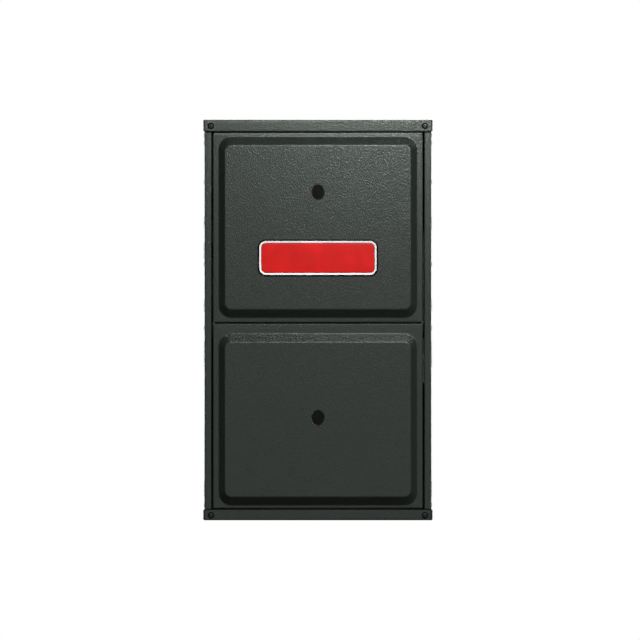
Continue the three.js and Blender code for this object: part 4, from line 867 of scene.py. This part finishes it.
def gas_valve_details():
    """Corner screws, pressure taps, a regulator cap, a terminal block and a blank plate on the gas valve."""
    low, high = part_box("gas_valve")
    bm = bmesh.new()
    y, seat, top = low.y, low.y + 0.2 * MM, high.z / MM
    tap = [(3.4 * MM, 0), (3.4 * MM, 3 * MM), (2.2 * MM, 3.4 * MM), (2.2 * MM, 6 * MM), (1.8 * MM, 6.4 * MM)]
    for x in (-219, -165):
        for z in (650, 730):
            hex_screw(bm, Vector((x * MM, seat, z * MM)), FRONT, 6, 2.0)
    for x, z in ((-216, 664), (-170, 716)):
        add_turned(bm, Vector((x * MM, seat, z * MM)), FRONT, tap, 12, 1)
    disc(bm, Vector((-0.196, seat, 0.722)), FRONT, 9, 4, 1, edge=0.8)
    add_box(bm, mm(-215, -306, top - 1), mm(-190, -286, top + 7), 1.0 * MM, 2, 2)
    for x in (-211, -205, -199):
        add_box(bm, mm(x, -299, top + 6), mm(x + 0.8, -293, top + 14), 0.2 * MM, 1)
    add_box(bm, mm(-178, y / MM - 0.4, 652), mm(-162, y / MM + 0.2, 672), 0.2 * MM, 1, 3)
    group("gas_valve_fittings", bm, [zinc, brass, looks["black_plastic"], label])


def inducer_details():
    """Through bolts and cooling slots on the inducer's motor, and screws round its housing."""
    centre = centre_of("inducer_motor")
    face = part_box("inducer_motor")[0].y
    bolts, slots_round = 38 * MM, 49.3 * MM
    bm = bmesh.new()
    for u, v in ellipse(bolts, bolts, 4, 45):
        hex_screw(bm, Vector((centre.x + u, face + 4 * MM, centre.z + v)), FRONT, 7, 6)
    for u, v in ellipse(slots_round, slots_round, 12, 15):
        spot = Vector((centre.x + u, 0, centre.z + v))
        add_box(bm, spot + mm(-2, -282, -2), spot + mm(2, -256, 2), 1.2 * MM, 2, 1)
    disc(bm, Vector((centre.x, face + 2 * MM, centre.z)), FRONT, 11, 3.2, 1, edge=1.0)
    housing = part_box("inducer_housing")[0].y
    for k in range(5):
        a = math.radians(100 + 58 * k)
        spot = Vector((centre.x + 60 * MM * math.cos(a), housing + 0.3 * MM, centre.z + 60 * MM * math.sin(a)))
        hex_screw(bm, spot, FRONT, 7, 2.4)
    group("inducer_fittings", bm, [zinc, looks["black_plastic"]])


def vent_clamps():
    """Two worm-drive bands round the rubber coupling."""
    low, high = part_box("vent_coupling")
    y, z = ((low + high) / 2 / MM).yz
    radius = (high.z - low.z) / 2 / MM
    front = y - radius
    bm = bmesh.new()
    for x in (low.x / MM + 7, high.x / MM - 16):
        disc(bm, mm(x, y, z), RIGHT, radius + 0.9, 9, hole=radius - 0.2, count=48)
        add_box(bm, mm(x + 0.5, front - 5.5, z + 4), mm(x + 8.5, front + 1.5, z + 20), 1.0 * MM)
        hex_screw(bm, mm(x + 4.5, front - 2.4, z + 20), UP, 7, 5)
    group("vent_clamps", bm, looks["stainless"])


def pressure_switch_details():
    """A blank label, three terminals and a ring of crimps on the pressure switch."""
    low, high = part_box("pressure_switch")
    centre = (low + high) / 2
    x, y, z = centre.x / MM, low.y / MM, centre.z / MM
    bm = bmesh.new()
    disc(bm, Vector((centre.x, low.y + 0.3 * MM, centre.z)), FRONT, 13, 0.7, 1, edge=0.2)
    for dx in (-9, 0, 9):
        add_box(bm, mm(x + dx - 3, y - 8, z + 17.6), mm(x + dx + 3, y + 1, z + 18.4), 0.2 * MM, 1)
    for u, v in ellipse(27 * MM, 27 * MM, 6):
        disc(bm, Vector((centre.x + u, low.y + 12 * MM, centre.z + v)), FRONT, 2.2, 4, edge=0.6)
    group("pressure_switch_fittings", bm, [zinc, label])


def drain_details():
    """Spring clips on the drain hose and a screwed clean-out cap on the trap."""
    bm = bmesh.new()
    low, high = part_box("drain_hose")
    z = (low.z + high.z) / 2 / MM
    for x in (-158, -150):
        disc(bm, mm(x, -261.3, z), RIGHT, 6.9, 1.6, edge=0.5, hole=5.9)
    x, y = centre_of("condensate_trap").x / MM, centre_of("condensate_trap").y / MM
    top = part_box("condensate_trap")[1].z / MM
    disc(bm, mm(x, y, top - 0.2), UP, 15, 7, 1, edge=1.2)
    for u, v in ellipse(15, 15, 10):
        add_box(bm, mm(x - 1.2 + u, y - 1.2 + v, top + 0.6), mm(x + 1.2 + u, y + 1.2 + v, top + 6), 0.6 * MM, 1, 1)
    group("drain_fittings", bm, [zinc, looks["black_plastic"]])


def board_parts():
    """Relays, capacitors, a fuse, terminal blocks and spade terminals on the control board."""
    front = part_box("control_board")[0].y / MM
    black, blue, white, can, toggle, metal, orange, brown, red = range(9)
    bm = bmesh.new()

    def part(x, z, w, h, deep, material, bevel):
        add_box(bm, mm(x, front - deep, z), mm(x + w, front + 0.1, z + h), bevel * MM, 2, material)

    for i in range(3):
        part(-84 + 27 * i, 250, 22, 28, 16, black, 0.8)
    part(2, 252, 30, 24, 20, blue, 0.8)
    part(-86, 166, 58, 12, 12, white, 0.6)
    for i in range(5):
        hex_screw(bm, mm(-80.5 + 11.5 * i, front - 11.8, 172), FRONT, 6, 1.4, metal)
    for i, x in enumerate((42, 60, 77)):
        disc(bm, mm(x, front + 0.1, 264), FRONT, 7 - i, 22 - 4 * i, can, edge=0.7)
        disc(bm, mm(x, front - 21.8 + 4 * i, 264), FRONT, 5.4 - i, 0.3, metal, edge=0.1)
    part(-6, 168, 18, 14, 9, orange, 0.8)
    part(20, 166, 26, 12, 5, black, 0.4)
    for i in range(4):
        part(23 + 5.5 * i, 168, 3, 5, 6.2, toggle, 0.2)
    part(-30, 206, 26, 12, 4, black, 0.3)
    for i in range(8):
        for z in (204.4, 218):
            part(-29 + 3.1 * i, z, 1.2, 1.8, 1.5, metal, 0.1)
    part(10, 205, 15, 15, 3, black, 0.3)
    for i in range(7):
        part(-82 + 9.5 * i, 234, 6.3, 0.9, 9, metal, 0.15)
    for i in range(6):
        part(52 + 6.5 * i, 172, 0.9, 6.3, 9, metal, 0.15)
    for i in range(10):
        part(-80 + (37 * i) % 90, 188 + (23 * i) % 40, 6, 2.6, 2.4, white if i % 2 else brown, 0.8)
    part(58, 200, 24, 20, 14, brown, 1.2)
    disc(bm, mm(84, front + 0.1, 236), FRONT, 2.6, 5, red, edge=1.2)
    for x in (-90, 90):
        for z in (164, 284):
            hex_screw(bm, mm(x, front, z), FRONT, 6, 2.2, metal)
    group("board_parts", bm, [
        looks["black_plastic"], wire_looks["blue"], looks["white_plastic"], looks["transformer_core"],
        looks["white_plastic"], zinc, wire_looks["orange"], paper, looks["red_plastic"],
    ])


def transformer_windings():
    """The windings that stand out of the transformer's core, and its four screws."""
    low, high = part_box("transformer")
    bm = bmesh.new()
    for side in (-1, 1):
        edge = low.y if side < 0 else high.y
        y0, y1 = sorted((edge, edge + side * 8 * MM))
        near, far = (low.x + 9 * MM, y0, low.z + 12 * MM), (high.x - 9 * MM, y1, high.z - 12 * MM)
        add_box(bm, near, far, 3 * MM, 3, 1)
    for z in (low.z + 4 * MM, high.z - 4 * MM):
        for x in (low.x + 6 * MM, high.x - 6 * MM):
            hex_screw(bm, Vector((x, low.y + 0.2 * MM, z)), FRONT, 6)
    group("transformer_windings", bm, [zinc, paper])


def junction_box_details():
    """Two screws in the junction box's side and a bushing under it."""
    low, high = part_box("junction_box")
    bm = bmesh.new()
    for z in (low.z + 10 * MM, high.z - 10 * MM):
        hex_screw(bm, Vector((low.x, (low.y + high.y) / 2, z)), LEFT, 7, 2.6)
    disc(bm, Vector(((low.x + high.x) / 2, (low.y + high.y) / 2, low.z)), DOWN, 11, 6, 1, edge=1.2)
    group("junction_box_fittings", bm, [zinc, looks["black_plastic"]])


def blower_details():
    """Bolts, a cap and vent slots on the blower motor's end, and screws under the rails."""
    bm = bmesh.new()
    centre = centre_of("blower_motor")
    motor_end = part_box("blower_motor")[1].x
    for u, v in ellipse(50 * MM, 50 * MM, 4, 45):
        hex_screw(bm, Vector((motor_end - 3 * MM, centre.y + u, centre.z + v)), RIGHT, 8, 6)
    disc(bm, Vector((motor_end - 1 * MM, centre.y, centre.z)), RIGHT, 13, 3, 1, edge=1.0)
    for u, v in ellipse(35 * MM, 35 * MM, 16):
        spot = Vector((0, centre.y + u, centre.z + v))
        near, far = (motor_end - 1 * MM, -2 * MM, -2 * MM), (motor_end + 0.4 * MM, 2 * MM, 2 * MM)
        add_box(bm, spot + Vector(near), spot + Vector(far), 0.3 * MM, 1, 1)
    rail_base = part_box("left_blower_rail")[0].z / MM
    for side in (-1, 1):
        for y in (112, 300):
            hex_screw(bm, mm(side * 147.5, y, rail_base), DOWN, 7, 2.4)
    group("blower_fittings", bm, [zinc, looks["black_plastic"]])


def panel_screws():
    """Zinc screws along the vestibule panel's edges and the blower deck's front edge."""
    bm = bmesh.new()
    spots = [(x, z) for x in (-236, 236) for z in (460, 560, 660, 760, 850)]
    spots += [(x, 860) for x in (-180, -90, 20, 110, 180)]
    for x, z in spots:
        hex_screw(bm, mm(x, -159.3, z), FRONT, height=2.4)
    for x in (-220, -120, 120, 220):
        hex_screw(bm, mm(x, -318, 436.1), UP, height=2.4)
    group("panel_screws", bm, zinc)


def wires(name, strands, radius):
    """Wires along (colour, path) pairs in mm, as one piece."""
    used = sorted({colour for colour, _ in strands})
    bm = bmesh.new()
    for colour, path in strands:
        add_tube(bm, smooth_path([mm(*p) for p in path]), radius * MM, 7, used.index(colour))
    group(name, bm, [wire_looks[c] for c in used])


def wiring():
    """The harness through a grommet in the blower deck, up to each switch and down to the board, and power wires."""
    hub_x, hub_y = -60, -300
    bm = bmesh.new()
    disc(bm, mm(hub_x, hub_y, 436.1), UP, 15, 5, edge=1.5, hole=9.5)
    disc(bm, mm(hub_x, hub_y, 434.9), DOWN, 15, 5, edge=1.5, hole=9.5)
    group("deck_grommet", bm, looks["rubber"])
    above = [
        ("red", [(-150, -296, 470), (-170, -305, 600), (-160, -300, 700), (-143, -289, 727)]),
        ("red", [(-140, -300, 480), (-150, -310, 610), (-140, -305, 710), (-133, -289, 727)]),
        ("orange", [(120, -300, 460), (165, -300, 560), (160, -296, 690), (143, -289, 727)]),
        ("orange", [(130, -305, 465), (172, -306, 570), (168, -300, 700), (133, -289, 727)]),
        ("yellow", [(-170, -305, 500), (-215, -315, 600), (-232, -310, 720), (-210.6, -297, 758)]),
        ("brown", [(-165, -310, 505), (-222, -312, 610), (-236, -300, 730), (-204.6, -297, 758)]),
        ("blue", [(-150, -250, 470), (-180, -215, 540), (-175, -208, 590), (-139, -204, 581)]),
        ("black", [(-140, -255, 475), (-172, -212, 550), (-168, -212, 600), (-121, -204, 581)]),
        ("white", [(150, -280, 470), (190, -250, 580), (188, -200, 670), (172, -177.6, 690)]),
        ("green", [(-160, -280, 480), (-190, -240, 600), (-188, -200, 680), (-172, -177.6, 690)]),
        ("black", [(10, -300, 450), (40, -312, 470), (62, -300, 500), (46, -275, 520)]),
        ("white", [(16, -300, 450), (46, -315, 466), (68, -304, 494), (50, -270, 524)]),
    ]
    board = [
        ("red", -78, 243), ("orange", -68.5, 243), ("yellow", -59, 243), ("brown", -49.5, 243),
        ("blue", -40, 243), ("black", -30.5, 243), ("white", -21, 243), ("green", -75, 160),
    ]
    strands = []
    for (colour, path), (u, v) in zip(above, ellipse(6, 6, len(above))):
        x, y = hub_x + u, hub_y + v
        strands.append((colour, [(x, y, 420), (x, y, 441), (x * 0.97, y, 452)] + path))
    for i, ((colour, x, z), (u, v)) in enumerate(zip(board, ellipse(5, 5, len(board)))):
        hx, hy = hub_x + u, hub_y + v
        strands.append((colour, [
            (hx, hy, 440), (hx, hy, 420), (hx, hy + 20, 380 - 4 * i), (x - 10, -140 - 6 * i, 330),
            (x, -96 - 3 * i, 290), (x, -84, z + 9), (x, -74, z - 4),
        ]))
    wires("harness", strands, 1.25)
    supply = [
        ("black", [(222, -270, 300), (222, -268, 270), (215, -180, 250), (178, -80, 270), (165, -56, 240)]),
        ("white", [(226, -272, 300), (226, -270, 266), (219, -184, 244), (186, -84, 262), (171, -56, 232)]),
        ("yellow", [(150, -56, 200), (140, -74, 190), (110, -90, 200), (88, -84, 190), (86, -74, 176)]),
        ("blue", [(156, -56, 202), (146, -80, 184), (112, -96, 192), (82, -86, 186), (79, -74, 176)]),
        ("red", [(150, 130, 140), (170, 90, 130), (176, 20, 150), (150, -60, 170), (100, -90, 182), (72, -74, 176)]),
        ("black", [(150, 136, 138), (174, 94, 126), (182, 20, 146), (154, -64, 164), (102, -94, 178), (66, -74, 176)]),
        ("green", [
            (60, -337, 412), (40, -330, 400), (0, -250, 330), (-14, -120, 300), (-11, -84, 252), (-11.5, -74, 240),
        ]),
    ]
    wires("power_wires", supply, 1.5)


cabinet_fasteners()
cabinet_side_marks()
grommets()
door_lining("upper_lining", "upper_door", 812, 466)
door_lining("lower_lining", "lower_door", 388, 52)
burner_details()
gas_valve_details()
inducer_details()
vent_clamps()
pressure_switch_details()
drain_details()
board_parts()
transformer_windings()
junction_box_details()
blower_details()
panel_screws()
wiring()

# Objects that the two inner lights leave alone, as those lights stand in front of the closed doors.
OUTSIDE = (
    "floor", "cabinet_wrap", "top_cap", "bottom_cap", "upper_door", "lower_door", "badge", "badge_plate",
    "split_gasket", "cap_seals", "blower_deck", "door_switch", "vestibule_panel", "upper_lining", "lower_lining",
    "panel_screws", "upper_lens", "lower_lens", "upper_sight_glass", "lower_sight_glass", "cabinet_screws",
    "cabinet_side_marks", *(corner + "_screw_dressed" for corner in CORNERS),
)


def light_inside():
    """Two soft boxes that light only the pieces behind the doors, once the doors are off."""
    inside = bpy.data.collections.new("inside")
    for obj in bpy.data.objects:
        if obj.type == "MESH" and obj.name not in OUTSIDE:
            inside.objects.link(obj)
    for side, watts in ((1, 110), (-1, 80)):
        lamp = area_light("inner_box", (side * 2.3, -1.4, 0.8), (0.0, -0.2, 0.42), (1.0, 1.0), watts)
        lamp.light_linking.receiver_collection = inside


def light_badge():
    """A soft box for the enamel badge alone, which the photo shows brighter than the paint beside it."""
    only = bpy.data.collections.new("badge_only")
    only.objects.link(bpy.data.objects["badge"])
    lamp = area_light("badge_box", (0.6, -2.7, 1.7), (0.0, -0.36, 0.57), (0.9, 0.7), 50)
    lamp.visible_glossy = False
    lamp.light_linking.receiver_collection = only


light_inside()
light_badge()
